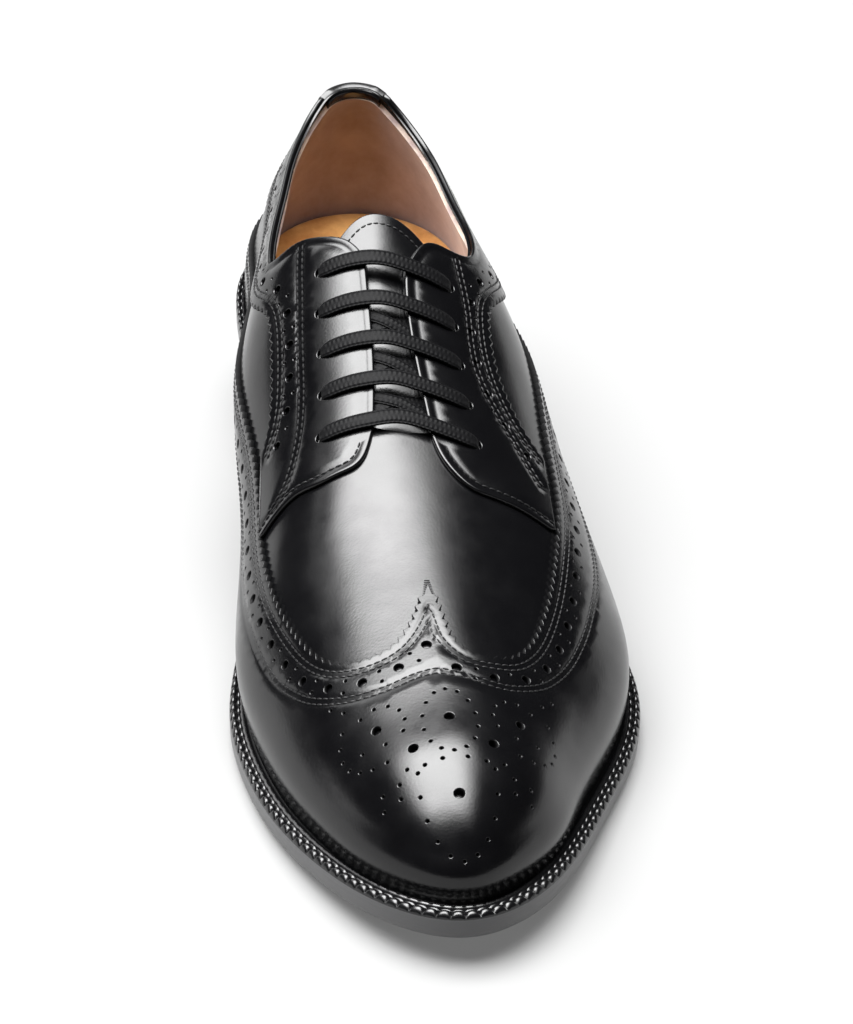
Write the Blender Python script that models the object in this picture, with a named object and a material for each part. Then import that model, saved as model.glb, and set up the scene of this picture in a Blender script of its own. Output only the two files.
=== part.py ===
"""A left brogue derby with a long wing tip, full size, standing on its sole.

Metres, +Z up. The toe points to -Y, the outer (lateral) side of the foot to +X.
Every piece of the upper is cut from one function, the surface of the last:
u runs round the shoe (0 heel back, 1 toe, 2 heel back again, lateral side first)
and v runs up a rib from the feather line (0) to the crest of the instep (1).
Tables are in millimetres; s is the distance forward from the back of the heel.
"""
import bmesh
import bpy
import numpy as np
from mathutils import Vector, geometry

MM = 0.001

# Driving sizes, mm
LENGTH = 304.0            # outsole, heel back to toe tip
HEEL_HEIGHT = 28.0        # floor to the sole's underside at the heel
TOP_LIFT = 6.0            # rubber lift under the heel
HEEL_BREAST = 80.0        # front face of the heel
WAIST_FRONT = 188.0       # where the arch comes down to the floor
TREAD_FRONT = 214.0       # where the toe starts to lift
TOE_SPRING = 9.0
SOLE = 5.2                # outsole at its edge
WELT = 3.2
GAP = 0.3                 # between pieces that meet
GROOVE = 1.0              # the welt's step down beside the upper
RIM_CLEAR = 2.2           # feather line to the welt's raised rim
SEAT_WIDTH = 13.5         # welt's whole width
INSOLE_FORE = 2.5
INSOLE_HEEL = 9.0         # insole with its heel pad
WALL = 1.8                # upper and lining together
OVERLAY = 1.1             # leather of wing, facings and backstay
TONGUE = 1.6
LACE_WIDTH, LACE_THICK = 4.6, 1.4
STRAND_WIDTH, STRAND_THICK = 3.2, 1.1   # lace where it crosses in the throat
STRAND_LEAN, STRAND_SINK = 2.2, 0.9     # a strand's slant, and its place under the bars
BAR_STEPS = 4             # points of a bar on each facing
EYELET_RADIUS = 1.9
BACKSTAY_HALF = 7.5
STAY_TOP = 0.540          # backstay's rise, just under the collar
INSOLE_CLEAR = 1.2        # insole's edge to the upper's wall
ARCH_START = 62.0         # where the underside leaves the heel seat
SPRING_POWER = 1.8        # how late the toe spring comes
PAD_FADE = (60.0, 125.0)  # where the heel pad thins out to the insole
STACK_IN = (1.9, 1.2)     # heel stack's inset at its foot and under the sole
LEVEL_RISE = 0.08         # rise over which the wall turns from level to its own normal
CREST_SIDE = 0.995        # rise beside the crest, where both slopes are known
SHARP_ANGLE = np.radians(35)

# Net of the upper: points round the feather line, and the size of its cells
ROUND = 84
CELL = 8.0
FINE = 4 * CELL / 5       # longest step along a pattern line
ROW = np.sqrt(3) / 2      # row height of a net of even triangles
CLEAR_CELL = 0.55         # inner net point to a pattern line, in cells
SMOOTH = 6                # points per row of a pattern table
CORNER_TURN, CORNER_STEP = 0.5, 0.3     # a corner's least turn, and least step in steps


def columns(names, rows):
    """A table as a dictionary of named columns."""
    return dict(zip(names.split(), np.array(rows, float).T))


# Half-breadth of the welt's edge from the heel-to-toe line
OUTLINE = columns("s lateral medial", [
    (0, 0, 0), (4, 15.8, 15.8), (14, 27.5, 27.3), (30, 34.8, 34.2),
    (50, 36.8, 35.6), (80, 37.5, 36.0), (115, 41.5, 37.0), (150, 50.5, 42.0),
    (180, 57.8, 49.2), (200, 59.2, 51.8), (222, 55.0, 50.3), (245, 45.6, 45.4),
    (268, 35.4, 36.5), (287, 24.6, 25.4), (299, 13.2, 13.6), (304, 0, 0)])
# How far the welt stands out from the feather line
REACH = columns("s reach", [
    (0, 5.0), (40, 4.6), (110, 4.4), (190, 6.0), (250, 7.0), (304, 8.2)])
# Sections of the sole's edge, each up from the piece's own underside
SOLE_EDGE = columns("inset up", [(1.8, 0), (0.7, 1.3), (0.7, SOLE - 0.6), (1.1, SOLE)])
WELT_EDGE = columns("inset up", [(0.5, 0), (0, 0.7), (0, WELT - GAP - 0.5), (0.5, WELT - GAP)])
LIFT_EDGE = columns("inset up", [(2.8, 0), (2.1, 1.0), (1.9, TOP_LIFT)])
WELT_STEP = 0.5           # slope of the step beside the upper
# Half section of a lace, in shares of its width and thickness
LACE_SECTION = columns("across up", [
    (0.5, 0), (0.32, 0.5), (-0.32, 0.5), (-0.5, 0), (-0.32, -0.5), (0.32, -0.5)])
# Crest of the last: sideways place, height and fall towards the lateral side
CREST = columns("s x z fall", [
    (42, 0.0, 114.0, 0.0), (60, -0.5, 114.0, 0.03), (80, -1.0, 109.5, 0.08),
    (100, -1.5, 101.0, 0.13), (120, -2.0, 91.5, 0.16), (145, -2.0, 80.0, 0.15),
    (170, -1.5, 69.5, 0.10), (195, -1.0, 61.3, 0.04), (222, -0.5, 54.0, 0.0)])
# Ribs: rise and outward lean of the lower handle, and the upper handle's share of the plan reach
RIBS = columns("s lift_lat lean_lat crown_lat lift_med lean_med crown_med", [
    (0, 28, 2.5, 0.80, 28, 2.5, 0.80), (12, 28, 2.5, 0.37, 28, 3.5, 0.30),
    (40, 28, 2.5, 0.22, 28, 6, 0.22), (75, 29, 9, 0.43, 29, 11, 0.60),
    (105, 29, 17, 0.62, 30, 25, 0.62), (140, 27, 15, 0.58, 32, 23, 0.52),
    (175, 24, 10, 0.60, 30, 14, 0.50), (205, 22, 6, 0.62, 27, 8, 0.55),
    (240, 22, 4, 0.62, 24, 4, 0.60), (275, 23, 3, 0.60, 23, 3, 0.60),
    (304, 24, 2, 0.58, 24, 2, 0.58)])

# Pattern lines on the last: way from heel back to toe, rise from feather to crest
COLLAR = {
    "lateral": columns("way rise", [
        (0, 0.565), (0.045, 0.562), (0.07, 0.540), (0.10, 0.500), (0.15, 0.455), (0.20, 0.438),
        (0.25, 0.438), (0.29, 0.452), (0.32, 0.475), (0.345, 0.520), (0.368, 0.575)]),
    "medial": columns("way rise", [
        (0, 0.565), (0.045, 0.562), (0.07, 0.545), (0.10, 0.515), (0.15, 0.490), (0.20, 0.475),
        (0.25, 0.465), (0.29, 0.460), (0.32, 0.468), (0.345, 0.490), (0.368, 0.520)])}
FACING_TOP = {
    "lateral": columns("way rise", [
        (0.368, 0.575), (0.384, 0.625), (0.393, 0.680), (0.397, 0.744), (0.399, 0.806), (0.408, 0.860),
        (0.425, 0.905)]),
    "medial": columns("way rise", [
        (0.368, 0.520), (0.374, 0.573), (0.378, 0.653), (0.385, 0.723), (0.394, 0.794), (0.406, 0.860),
        (0.425, 0.910)])}
THROAT = {
    "lateral": columns("way rise", [(0.425, 0.905), (0.45, 0.928), (0.52, 0.931), (0.59, 0.922)]),
    "medial": columns("way rise", [(0.425, 0.910), (0.45, 0.906), (0.52, 0.902), (0.58, 0.884)])}
THROAT_END = 0.612
FACING_FRONT = {
    "lateral": columns("way rise", [(0.59, 0.922), (0.611, 0.898), (0.620, 0.840), (0.612, 0.775),
                                    (0.600, 0.700), (0.592, 0.630), (0.586, 0.566)]),
    "medial": columns("way rise", [(0.58, 0.884), (0.597, 0.846), (0.598, 0.800), (0.590, 0.744),
                                   (0.577, 0.655), (0.562, 0.555), (0.552, 0.400)])}
FACING_END = 0.066        # way at which a facing stops beside the backstay
# Gimped back edge of a facing, up from the wing and back along the topline
FACING_BACK = {
    "lateral": columns("way rise", [
        (0.522, 0.530), (0.510, 0.608), (0.479, 0.650), (0.444, 0.645), (0.418, 0.605), (0.390, 0.490),
        (0.362, 0.395), (0.33, 0.360), (0.28, 0.335), (0.21, 0.335), (0.14, 0.350), (FACING_END, 0.390)]),
    "medial": columns("way rise", [
        (0.500, 0.428), (0.486, 0.492), (0.457, 0.528), (0.428, 0.545), (0.404, 0.520), (0.380, 0.440),
        (0.352, 0.385), (0.325, 0.360), (0.28, 0.350), (0.21, 0.365), (0.14, 0.375), (FACING_END, 0.390)])}
WING_PEAK = 0.856
WING_EDGE = {
    "lateral": columns("way rise", [
        (0.872, 0.880), (0.845, 0.807), (0.812, 0.735), (0.783, 0.676), (0.756, 0.620), (0.724, 0.577),
        (0.690, 0.562), (0.641, 0.563), (0.600, 0.553), (0.56, 0.520), (0.50, 0.455), (0.44, 0.370),
        (0.38, 0.275), (0.32, 0.212), (0.25, 0.185), (0.15, 0.180), (0.06, 0.185)]),
    "medial": columns("way rise", [
        (0.834, 0.888), (0.812, 0.795), (0.792, 0.729), (0.769, 0.663), (0.740, 0.585), (0.710, 0.520),
        (0.675, 0.474), (0.631, 0.439), (0.590, 0.415), (0.55, 0.395), (0.50, 0.380), (0.44, 0.330),
        (0.38, 0.262), (0.32, 0.212), (0.25, 0.185), (0.15, 0.180), (0.06, 0.185)])}
TONGUE_EDGE = {
    "lateral": columns("way rise", [(0.381, 0.900), (0.398, 0.800), (0.425, 0.725), (0.475, 0.690),
                                    (0.54, 0.690), (0.60, 0.730), (0.632, 0.850)]),
    "medial": columns("way rise", [(0.380, 0.900), (0.394, 0.800), (0.418, 0.700), (0.465, 0.640),
                                   (0.52, 0.630), (0.58, 0.680), (0.625, 0.840)])}
TONGUE_TOP, TONGUE_FOOT = 0.376, 0.645
# Five pairs of eyelets, top to bottom
EYELETS = columns("way_lat rise_lat way_med rise_med", [
    (0.432, 0.775, 0.418, 0.745), (0.466, 0.783, 0.450, 0.727), (0.500, 0.790, 0.482, 0.716),
    (0.535, 0.797, 0.515, 0.707), (0.570, 0.797, 0.547, 0.692)])

COLOURS = {
    "outsole": ((0.030, 0.029, 0.028), 0.55), "welt": ((0.016, 0.016, 0.017), 0.40),
    "heel_stack": ((0.018, 0.017, 0.017), 0.45), "heel_top_lift": ((0.020, 0.020, 0.020), 0.75),
    "insole": ((0.560, 0.250, 0.075), 0.60), "upper": ((0.012, 0.012, 0.013), 0.25),
    "wing_tip": ((0.010, 0.010, 0.011), 0.22), "facing_lateral": ((0.011, 0.011, 0.012), 0.25),
    "facing_medial": ((0.011, 0.011, 0.012), 0.25), "backstay": ((0.011, 0.011, 0.012), 0.25),
    "tongue": ((0.012, 0.012, 0.013), 0.30), "laces": ((0.014, 0.014, 0.015), 0.60)}


def spline(xs, ys, clamped=False):
    """Cubic spline through a column; clamped ends are level, others are free."""
    n, h = len(xs), np.diff(xs)
    d = np.diff(ys) / h
    a, r = np.zeros((n, n)), np.zeros(n)
    for i in range(1, n - 1):
        a[i, i - 1:i + 2] = h[i - 1], 2 * (h[i - 1] + h[i]), h[i]
        r[i] = 6 * (d[i] - d[i - 1])
    if clamped:
        a[0, :2] = 2 * h[0], h[0]
        a[-1, -2:] = h[-1], 2 * h[-1]
        r[0], r[-1] = 6 * d[0], -6 * d[-1]
    else:
        a[0, 0] = a[-1, -1] = 1
    m = np.linalg.solve(a, r)

    def value(x, slope=False):
        x = np.asarray(x, float)
        i = np.clip(np.searchsorted(xs, x) - 1, 0, n - 2)
        t = x - xs[i]
        b = d[i] - h[i] * (2 * m[i] + m[i + 1]) / 6
        c = (m[i + 1] - m[i]) / (6 * h[i])
        if slope:
            return b + m[i] * t + 3 * c * t * t
        return ys[i] + b * t + m[i] / 2 * t * t + c * t ** 3
    return value


def way_of(s):
    """Way 0 to 1 from heel back to toe tip; its cosine spacing rounds both ends."""
    return np.arccos(np.clip(1 - 2 * s / LENGTH, -1, 1)) / np.pi


def smooth_step(lo, hi, x):
    t = np.clip((x - lo) / (hi - lo), 0, 1)
    return t * t * (3 - 2 * t)


HALF_LAT = spline(way_of(OUTLINE["s"]), OUTLINE["lateral"])
HALF_MED = spline(way_of(OUTLINE["s"]), OUTLINE["medial"])
REACH_AT = spline(way_of(REACH["s"]), REACH["reach"])
CREST_X, CREST_Z, CREST_FALL = (spline(CREST["s"], CREST[k]) for k in ("x", "z", "fall"))
RIB = {k: spline(way_of(RIBS["s"]), RIBS[k], clamped=True) for k in RIBS if k != "s"}
FINE_WAY = np.linspace(0, 1, 401)
X_MID = (HALF_LAT(FINE_WAY).max() - HALF_MED(FINE_WAY).max()) / 2


def underside(s):
    """Height of the sole's underside: heel seat, arch, tread on the floor, toe spring."""
    arch = HEEL_HEIGHT * (1 - smooth_step(ARCH_START, WAIST_FRONT, s))
    toe = np.clip((s - TREAD_FRONT) / (LENGTH - TREAD_FRONT), 0, None)
    return arch + TOE_SPRING * toe ** SPRING_POWER


def edge_point(side, way, inset):
    """Plan point of the welt's edge moved in by inset, with the outward direction."""
    def plan(q):
        folded = np.where(q < 0, -q, np.where(q > 1, 2 - q, q))
        flip = np.where((q < 0) | (q > 1), -1, 1)
        half = np.where(side > 0, HALF_LAT(folded), HALF_MED(folded))
        return flip * side * half, LENGTH * (1 - np.cos(np.pi * folded)) / 2
    h = 1e-4
    (xa, sa), (xb, sb) = plan(way - h), plan(way + h)
    size = np.hypot(xb - xa, sb - sa)
    nx, ns = side * (sb - sa) / size, -side * (xb - xa) / size
    x, s = plan(way)
    return x - inset * nx, s - inset * ns, nx, ns


def last_point(u, v):
    """Surface of the last at u, v: a cubic rib from the feather line to the crest."""
    u, v = np.broadcast_arrays(np.mod(u, 2.0), v)
    side = np.where(u <= 1, 1.0, -1.0)
    way = np.where(u <= 1, u, 2 - u)
    fx, fs, nx, ns = edge_point(side, way, REACH_AT(way))
    foot = np.stack([fx, fs, underside(fs) + SOLE + WELT + 2 * GAP - GROOVE], -1)
    lift, lean, crown = (np.where(side > 0, RIB[k + "_lat"](way), RIB[k + "_med"](way))
                         for k in ("lift", "lean", "crown"))
    low = foot + np.stack([lean * nx, lean * ns, lift], -1)
    s0, s1 = CREST["s"][0], CREST["s"][-1]
    ts = s0 + (s1 - s0) * (1 - np.cos(np.pi * way)) / 2
    top = np.stack([CREST_X(ts), ts, CREST_Z(ts)], -1)
    dx, ds = crown * (fx - top[..., 0]), crown * (fs - ts)
    fall, bend, slope = CREST_FALL(ts), CREST_X(ts, True), CREST_Z(ts, True)
    high = top + np.stack([dx, ds, slope * ds - fall * (dx - bend * ds)], -1)
    t, w = v[..., None], 1 - v[..., None]
    return w ** 3 * foot + 3 * w * w * t * low + 3 * w * t * t * high + t ** 3 * top


def last_slopes(u, v):
    """Change of the surface per unit of u and of v."""
    h = 1e-4
    lo, hi = np.clip(v - h, 0, 1), np.clip(v + h, 0, 1)
    along = (last_point(u + h, v) - last_point(u - h, v)) / (2 * h)
    rise = (last_point(u, hi) - last_point(u, lo)) / (hi - lo)[..., None]
    return along, rise


def last_normal(u, v):
    """Outward unit normal, level where the wall stands on the welt."""
    along, rise = last_slopes(u, np.minimum(v, CREST_SIDE))
    normal = np.cross(along, rise)
    normal /= np.linalg.norm(normal, axis=-1, keepdims=True)
    normal[..., 2] *= np.clip(v / LEVEL_RISE, 0, 1)
    return normal / np.linalg.norm(normal, axis=-1, keepdims=True)


def to_world(points):
    """From x, s, z in mm to metres with the origin under the middle of the shoe."""
    points = np.asarray(points, float)
    return np.stack([points[..., 0] - X_MID, LENGTH / 2 - points[..., 1], points[..., 2]], -1) * MM


def add_object(name, points, faces):
    """Closed mesh object from world points, faces turned outward, with its own material."""
    mesh = bpy.data.meshes.new(name)
    mesh.from_pydata([tuple(p) for p in points], [], [tuple(int(i) for i in f) for f in faces])
    bm = bmesh.new()
    bm.from_mesh(mesh)
    bmesh.ops.triangulate(bm, faces=bm.faces)
    bmesh.ops.recalc_face_normals(bm, faces=bm.faces)
    bm.to_mesh(mesh)
    bm.free()
    mesh.shade_smooth()
    mesh.set_sharp_from_angle(angle=SHARP_ANGLE)
    obj = bpy.data.objects.new(name, mesh)
    bpy.context.scene.collection.objects.link(obj)
    colour, roughness = COLOURS[name]
    material = bpy.data.materials.new(name)
    material.use_nodes = True
    shader = material.node_tree.nodes["Principled BSDF"]
    shader.inputs["Base Color"].default_value = (*colour, 1)
    shader.inputs["Roughness"].default_value = roughness
    shader.inputs["Metallic"].default_value = 0.0
    mesh.materials.append(material)
    return obj


# Sole pieces: rings of the outline, one over the other

def ring(inset, height, ways):
    """One loop of the outline, lateral from the last way to the heel, then medial."""
    side = np.concatenate([np.ones(len(ways)), -np.ones(len(ways))])
    way = np.concatenate([ways[::-1], ways])
    x, s, _, _ = edge_point(side, way, inset(way) if callable(inset) else inset)
    return np.stack([x, s, height(s)], -1)


def bridge(first, second, count):
    turn = [(i + 1) % count for i in range(count)]
    return [(first + i, first + turn[i], second + turn[i], second + i) for i in range(count)]


def stack(name, rings):
    """Solid between a bottom and a top loop; the caps are strips from side to side."""
    count = len(rings[0])
    half = count // 2
    faces = []
    for k in range(len(rings) - 1):
        faces += bridge(k * count, (k + 1) * count, count)
    for base in (0, (len(rings) - 1) * count):
        for i in range(half - 1):
            faces.append((base + i, base + i + 1, base + count - 2 - i, base + count - 1 - i))
    return add_welded(name, np.concatenate(rings), faces)


def band(name, rings):
    """Closed band whose section is the loop of rings."""
    count = len(rings[0])
    faces = []
    for k in range(len(rings)):
        faces += bridge(k * count, (k + 1) % len(rings) * count, count)
    return add_welded(name, np.concatenate(rings), faces)


def add_welded(name, points, faces):
    """Object whose doubled points at heel back and toe tip are made one."""
    keys, index = {}, []
    for p in np.round(points, 4):
        index.append(keys.setdefault(tuple(p), len(keys)))
    kept = np.array(list(keys))
    merged = []
    for face in faces:
        loop = [index[i] for i in face]
        loop = [a for i, a in enumerate(loop) if a != loop[i - 1]]
        if len(loop) > 2:
            merged.append(loop)
    return add_object(name, to_world(kept), merged)


def over(extra):
    """Height that follows the sole's underside."""
    return lambda s: underside(s) + extra


def level(height):
    """The same height everywhere."""
    return lambda s: np.full_like(s, height)


def edge_rings(table, base, ways):
    """Rings of a section table, up from the height base over the sole's underside."""
    return [ring(inset, over(base + up), ways) for inset, up in zip(table["inset"], table["up"])]


def rim(way):
    """Inner edge of the welt's raised rim."""
    return REACH_AT(way) - RIM_CLEAR


def rim_foot(way):
    return rim(way) + WELT_STEP


def insole_edge(way):
    return REACH_AT(way) + WALL + INSOLE_CLEAR


def insole_top(s):
    pad = 1 - smooth_step(*PAD_FADE, s)
    thick = INSOLE_FORE + (INSOLE_HEEL - INSOLE_FORE) * pad
    return underside(s) + SOLE + WELT - GROOVE + GAP + thick


def make_sole():
    ways = np.linspace(0, 1, ROUND // 2 + 1)
    seat, rim_top = SOLE + GAP, SOLE + WELT
    groove = rim_top - GROOVE
    stack("outsole", edge_rings(SOLE_EDGE, 0, ways) + [
        ring(SEAT_WIDTH, over(SOLE), ways), ring(SEAT_WIDTH + GAP, over(groove), ways)])
    band("welt", edge_rings(WELT_EDGE, seat, ways) + [
        ring(rim, over(rim_top), ways), ring(rim_foot, over(groove), ways),
        ring(SEAT_WIDTH, over(groove), ways), ring(SEAT_WIDTH, over(seat), ways)])
    stack("insole", [ring(insole_edge, over(groove + GAP), ways), ring(insole_edge, insole_top, ways)])
    heel_ways = np.linspace(0, way_of(HEEL_BREAST), ROUND // 6)
    stack("heel_stack", [
        ring(STACK_IN[0], level(TOP_LIFT + GAP), heel_ways), ring(STACK_IN[1], over(-GAP), heel_ways)])
    stack("heel_top_lift", [
        ring(inset, level(up), heel_ways) for inset, up in zip(LIFT_EDGE["inset"], LIFT_EDGE["up"])])


# The upper laid flat: each rib turned out from the crest, so the whole last is one sheet

def flat_frame(u):
    """Crest point, plan direction and flat length of the rib at u."""
    one, none = np.ones_like(u), np.zeros_like(u)
    foot, top = last_point(u, none), last_point(u, one)
    middle = last_point(u, one / 2)
    plan = (foot - top)[..., :2]
    reach = np.linalg.norm(plan, axis=-1)
    rib = np.linalg.norm(foot - middle, axis=-1) + np.linalg.norm(middle - top, axis=-1)
    return top[..., :2], plan / reach[..., None], np.sqrt(reach * rib)


FLAT_U = np.linspace(0, 2, 4001)
FLAT_TOP, FLAT_WAY, FLAT_LENGTH = flat_frame(FLAT_U)


def to_flat(chart):
    u, v = np.asarray(chart, float).T
    top, way, length = flat_frame(u)
    return top + way * (length * (1 - v))[:, None]


def from_flat(points):
    """Chart u, v of flat points: the rib whose line passes through each."""
    chart = []
    for q in points:
        reach = q - FLAT_TOP
        off = reach[:, 0] * FLAT_WAY[:, 1] - reach[:, 1] * FLAT_WAY[:, 0]
        ahead = (reach * FLAT_WAY).sum(1)
        at = np.flatnonzero((off[:-1] * off[1:] <= 0) & (ahead[:-1] >= -1e-6))
        k = at[np.argmin(np.abs(off[at]))]
        part = off[k] / (off[k] - off[k + 1]) if off[k] != off[k + 1] else 0.0
        far = ahead[k] + part * (ahead[k + 1] - ahead[k])
        full = FLAT_LENGTH[k] + part * (FLAT_LENGTH[k + 1] - FLAT_LENGTH[k])
        chart.append((FLAT_U[k] + part * (FLAT_U[k + 1] - FLAT_U[k]), 1 - far / full))
    return np.array(chart)


def side_u(side, way):
    return way if side == "lateral" else 2 - way


def pattern_line(table, side):
    """Pattern line of one side, smoothed through its rows, as flat points."""
    knots = np.arange(len(table["way"]), dtype=float)
    fine = np.linspace(0, knots[-1], SMOOTH * len(knots))
    way, rise = spline(knots, table["way"])(fine), spline(knots, table["rise"])(fine)
    return to_flat(np.stack([side_u(side, way), rise], 1))


def crest_point(way):
    return to_flat([(way, 1.0)])


def feather_run(first, last):
    """Flat points of the feather line from one u to another."""
    u = np.linspace(0, 2, ROUND + 1)
    inner = u[(u > min(first, last) + 0.01) & (u < max(first, last) - 0.01)]
    u = np.concatenate([[min(first, last)], inner, [max(first, last)]])
    run = to_flat(np.stack([u, np.zeros_like(u)], 1))
    return run if last > first else run[::-1]


def stay_edge(side, half):
    """Edge of the backstay, up from the feather line: where the back strip is half wide."""
    rises = np.linspace(0, STAY_TOP, 12)
    way = np.linspace(0, 0.2, 81)
    ways = []
    for v in rises:
        across = np.abs(last_point(side_u(side, way), np.full_like(way, v))[:, 0])
        ways.append(side_u(side, np.interp(half, across, way)))
    return np.stack([np.array(ways), rises], 1)


def eyelet_loop(u, v, sides=8):
    """Flat points of a round hole in the leather."""
    middle = to_flat([(u, v)])[0]
    h = 1e-3
    step = to_flat([(u + h, v), (u, v + h)]) - middle
    true = np.stack(last_slopes(np.array([u]), np.array([v])))[:, 0] * h
    e1 = true[0] / np.linalg.norm(true[0])
    e2 = true[1] - e1 * (true[1] @ e1)
    e2 /= np.linalg.norm(e2)
    turn = np.arange(sides) * 2 * np.pi / sides
    wanted = EYELET_RADIUS * np.stack([np.cos(turn), np.sin(turn)])
    shares = np.linalg.solve(np.array([[true[0] @ e1, true[1] @ e1], [0, true[1] @ e2]]), wanted)
    return middle + shares.T @ step


def evened(loop, step):
    """A loop with its points about one step apart and its corners kept."""
    loop = np.asarray(loop)
    keep = [loop[0]]
    for i in range(1, len(loop)):
        a, b = loop[i] - keep[-1], loop[(i + 1) % len(loop)] - loop[i]
        turn = np.abs(np.arctan2(a[0] * b[1] - a[1] * b[0], a @ b))
        far = np.linalg.norm(a)
        if far >= step or (turn > CORNER_TURN and far > CORNER_STEP * step):
            keep.append(loop[i])
    return np.array(keep)


def clear_of(line, other, distance):
    """The points of a line that keep a distance from another line."""
    return line[np.linalg.norm(line[:, None] - other[None], axis=2).min(1) > distance]


def pattern():
    """Flat outline of each piece, as closed loops."""
    sides = ("lateral", "medial")
    collar = {s: pattern_line(COLLAR[s], s) for s in sides}
    top = {s: pattern_line(FACING_TOP[s], s)[1:] for s in sides}
    throat = {s: pattern_line(THROAT[s], s)[1:] for s in sides}
    tongue = {s: pattern_line(TONGUE_EDGE[s], s) for s in sides}
    stay = {s: stay_edge(s, BACKSTAY_HALF) for s in sides}
    beside = {s: stay_edge(s, BACKSTAY_HALF + 2 * GAP) for s in sides}
    loops, tails = {"eyelets": []}, {}
    for s in sides:
        butt = to_flat(beside[s])
        wing = np.concatenate([crest_point(WING_PEAK), pattern_line(WING_EDGE[s], s)])
        wing = clear_of(wing, butt, FINE / 2)
        under_wing = (beside[s][:, 1] > 0) & (beside[s][:, 1] < WING_EDGE[s]["rise"][-1])
        tails[s] = np.concatenate([wing, butt[under_wing][::-1]])
        front = clear_of(pattern_line(FACING_FRONT[s], s), wing, 2 * GAP)
        back = clear_of(pattern_line(FACING_BACK[s], s), wing, 2 * GAP)
        around = from_flat(collar[s])[:, 0]
        topline = collar[s][np.minimum(around, 2 - around) > FACING_END]
        loops["facing_" + s] = [np.concatenate([topline, top[s], throat[s], front[1:], back])]
        for way, rise in zip(EYELETS["way_" + s[:3]], EYELETS["rise_" + s[:3]]):
            loops["eyelets"].append(eyelet_loop(side_u(s, way), rise))
    half = {s: np.concatenate([collar[s], top[s], throat[s]]) for s in sides}
    loops["opening"] = [np.concatenate([
        half["lateral"], crest_point(THROAT_END), half["medial"][:0:-1]])]
    loops["tongue"] = [np.concatenate([
        crest_point(TONGUE_TOP), tongue["lateral"], crest_point(TONGUE_FOOT), tongue["medial"][::-1]])]
    loops["wing_tip"] = [np.concatenate([
        tails["lateral"][::-1], tails["medial"][1:],
        feather_run(beside["medial"][0, 0], beside["lateral"][0, 0])])]
    loops["backstay"] = [np.concatenate([
        to_flat(stay["lateral"])[::-1], to_flat([(0.0, 0.0)]),
        to_flat(stay["medial"]), to_flat([(0.0, STAY_TOP)])])]
    round_hole = len(loops["eyelets"][0])
    return {name: [evened(loop, FINE if len(loop) > round_hole else 0) for loop in group]
            for name, group in loops.items()}


def inside_loop(points, loop):
    """Even-odd test of many points against one closed loop."""
    x, y = points.T
    odd = np.zeros(len(points), bool)
    for (xa, ya), (xb, yb) in zip(loop, np.roll(loop, -1, 0)):
        if ya != yb:
            cross = (ya > y) != (yb > y)
            odd ^= cross & (x < (xb - xa) * (y - ya) / (yb - ya) + xa)
    return odd


def make_net(loops):
    """Flat triangles of the whole last, with every pattern line among their edges."""
    border = feather_run(0.0, 2.0)[:-1]
    points, edges = [], []
    for loop in [border] + [loop for group in loops.values() for loop in group]:
        first = len(points)
        points += [tuple(q) for q in loop]
        edges += [(first + i, first + (i + 1) % len(loop)) for i in range(len(loop))]
    ends = np.array(points)[np.array(edges)]
    shares = np.linspace(0, 1, 4, endpoint=False)[:, None, None]
    lines = (ends[:, 0] * (1 - shares) + ends[:, 1] * shares).reshape(-1, 2)
    low, high = border.min(0), border.max(0)
    for row, y in enumerate(np.arange(low[1], high[1], CELL * ROW)):
        for x in np.arange(low[0] + row % 2 * CELL / 2, high[0], CELL):
            if np.linalg.norm(lines - (x, y), axis=1).min() > CELL * CLEAR_CELL:
                points.append((x, y))
    spots = [Vector(p) for p in points]
    verts, _, faces, _, _, _ = geometry.delaunay_2d_cdt(spots, edges, [], 0, 1e-4)
    flat, faces = np.array([tuple(p) for p in verts]), np.array(faces)
    return flat, faces[inside_loop(flat[faces].mean(1), border)]


def in_piece(flat, faces, group):
    inside = np.zeros(len(faces), bool)
    for loop in group:
        inside |= inside_loop(flat[faces].mean(1), loop)
    return inside


def shell(name, flat, faces, inner, outer):
    """Solid between two offsets of the last over the given triangles."""
    used = np.unique(faces)
    faces = np.searchsorted(used, faces)
    u, v = from_flat(flat[used]).T
    v = np.clip(v, 0, 1)
    base, normal = last_point(u, v), last_normal(u, v)
    count = len(base)
    directed = {(a, b) for f in faces for a, b in zip(f, np.roll(f, -1))}
    walls = [(b, a, a + count, b + count) for a, b in directed if (b, a) not in directed]
    solid = [tuple(f) for f in faces] + [tuple(f[::-1] + count) for f in faces] + walls
    points = np.concatenate([base + outer * normal, base + inner * normal])
    return add_object(name, to_world(points), solid)


def make_upper():
    loops = pattern()
    flat, faces = make_net(loops)
    hole = in_piece(flat, faces, loops["eyelets"])
    opening = in_piece(flat, faces, loops["opening"])
    shell("upper", flat, faces[~opening & ~hole], -WALL, 0)
    for name in ("wing_tip", "backstay", "facing_lateral", "facing_medial"):
        shell(name, flat, faces[in_piece(flat, faces, loops[name]) & ~hole], GAP, GAP + OVERLAY)
    shell("tongue", flat, faces[in_piece(flat, faces, loops["tongue"])], -WALL - GAP - TONGUE, -WALL - GAP)


# Laces: five flat bars, joined by the strands that cross in the throat

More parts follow.
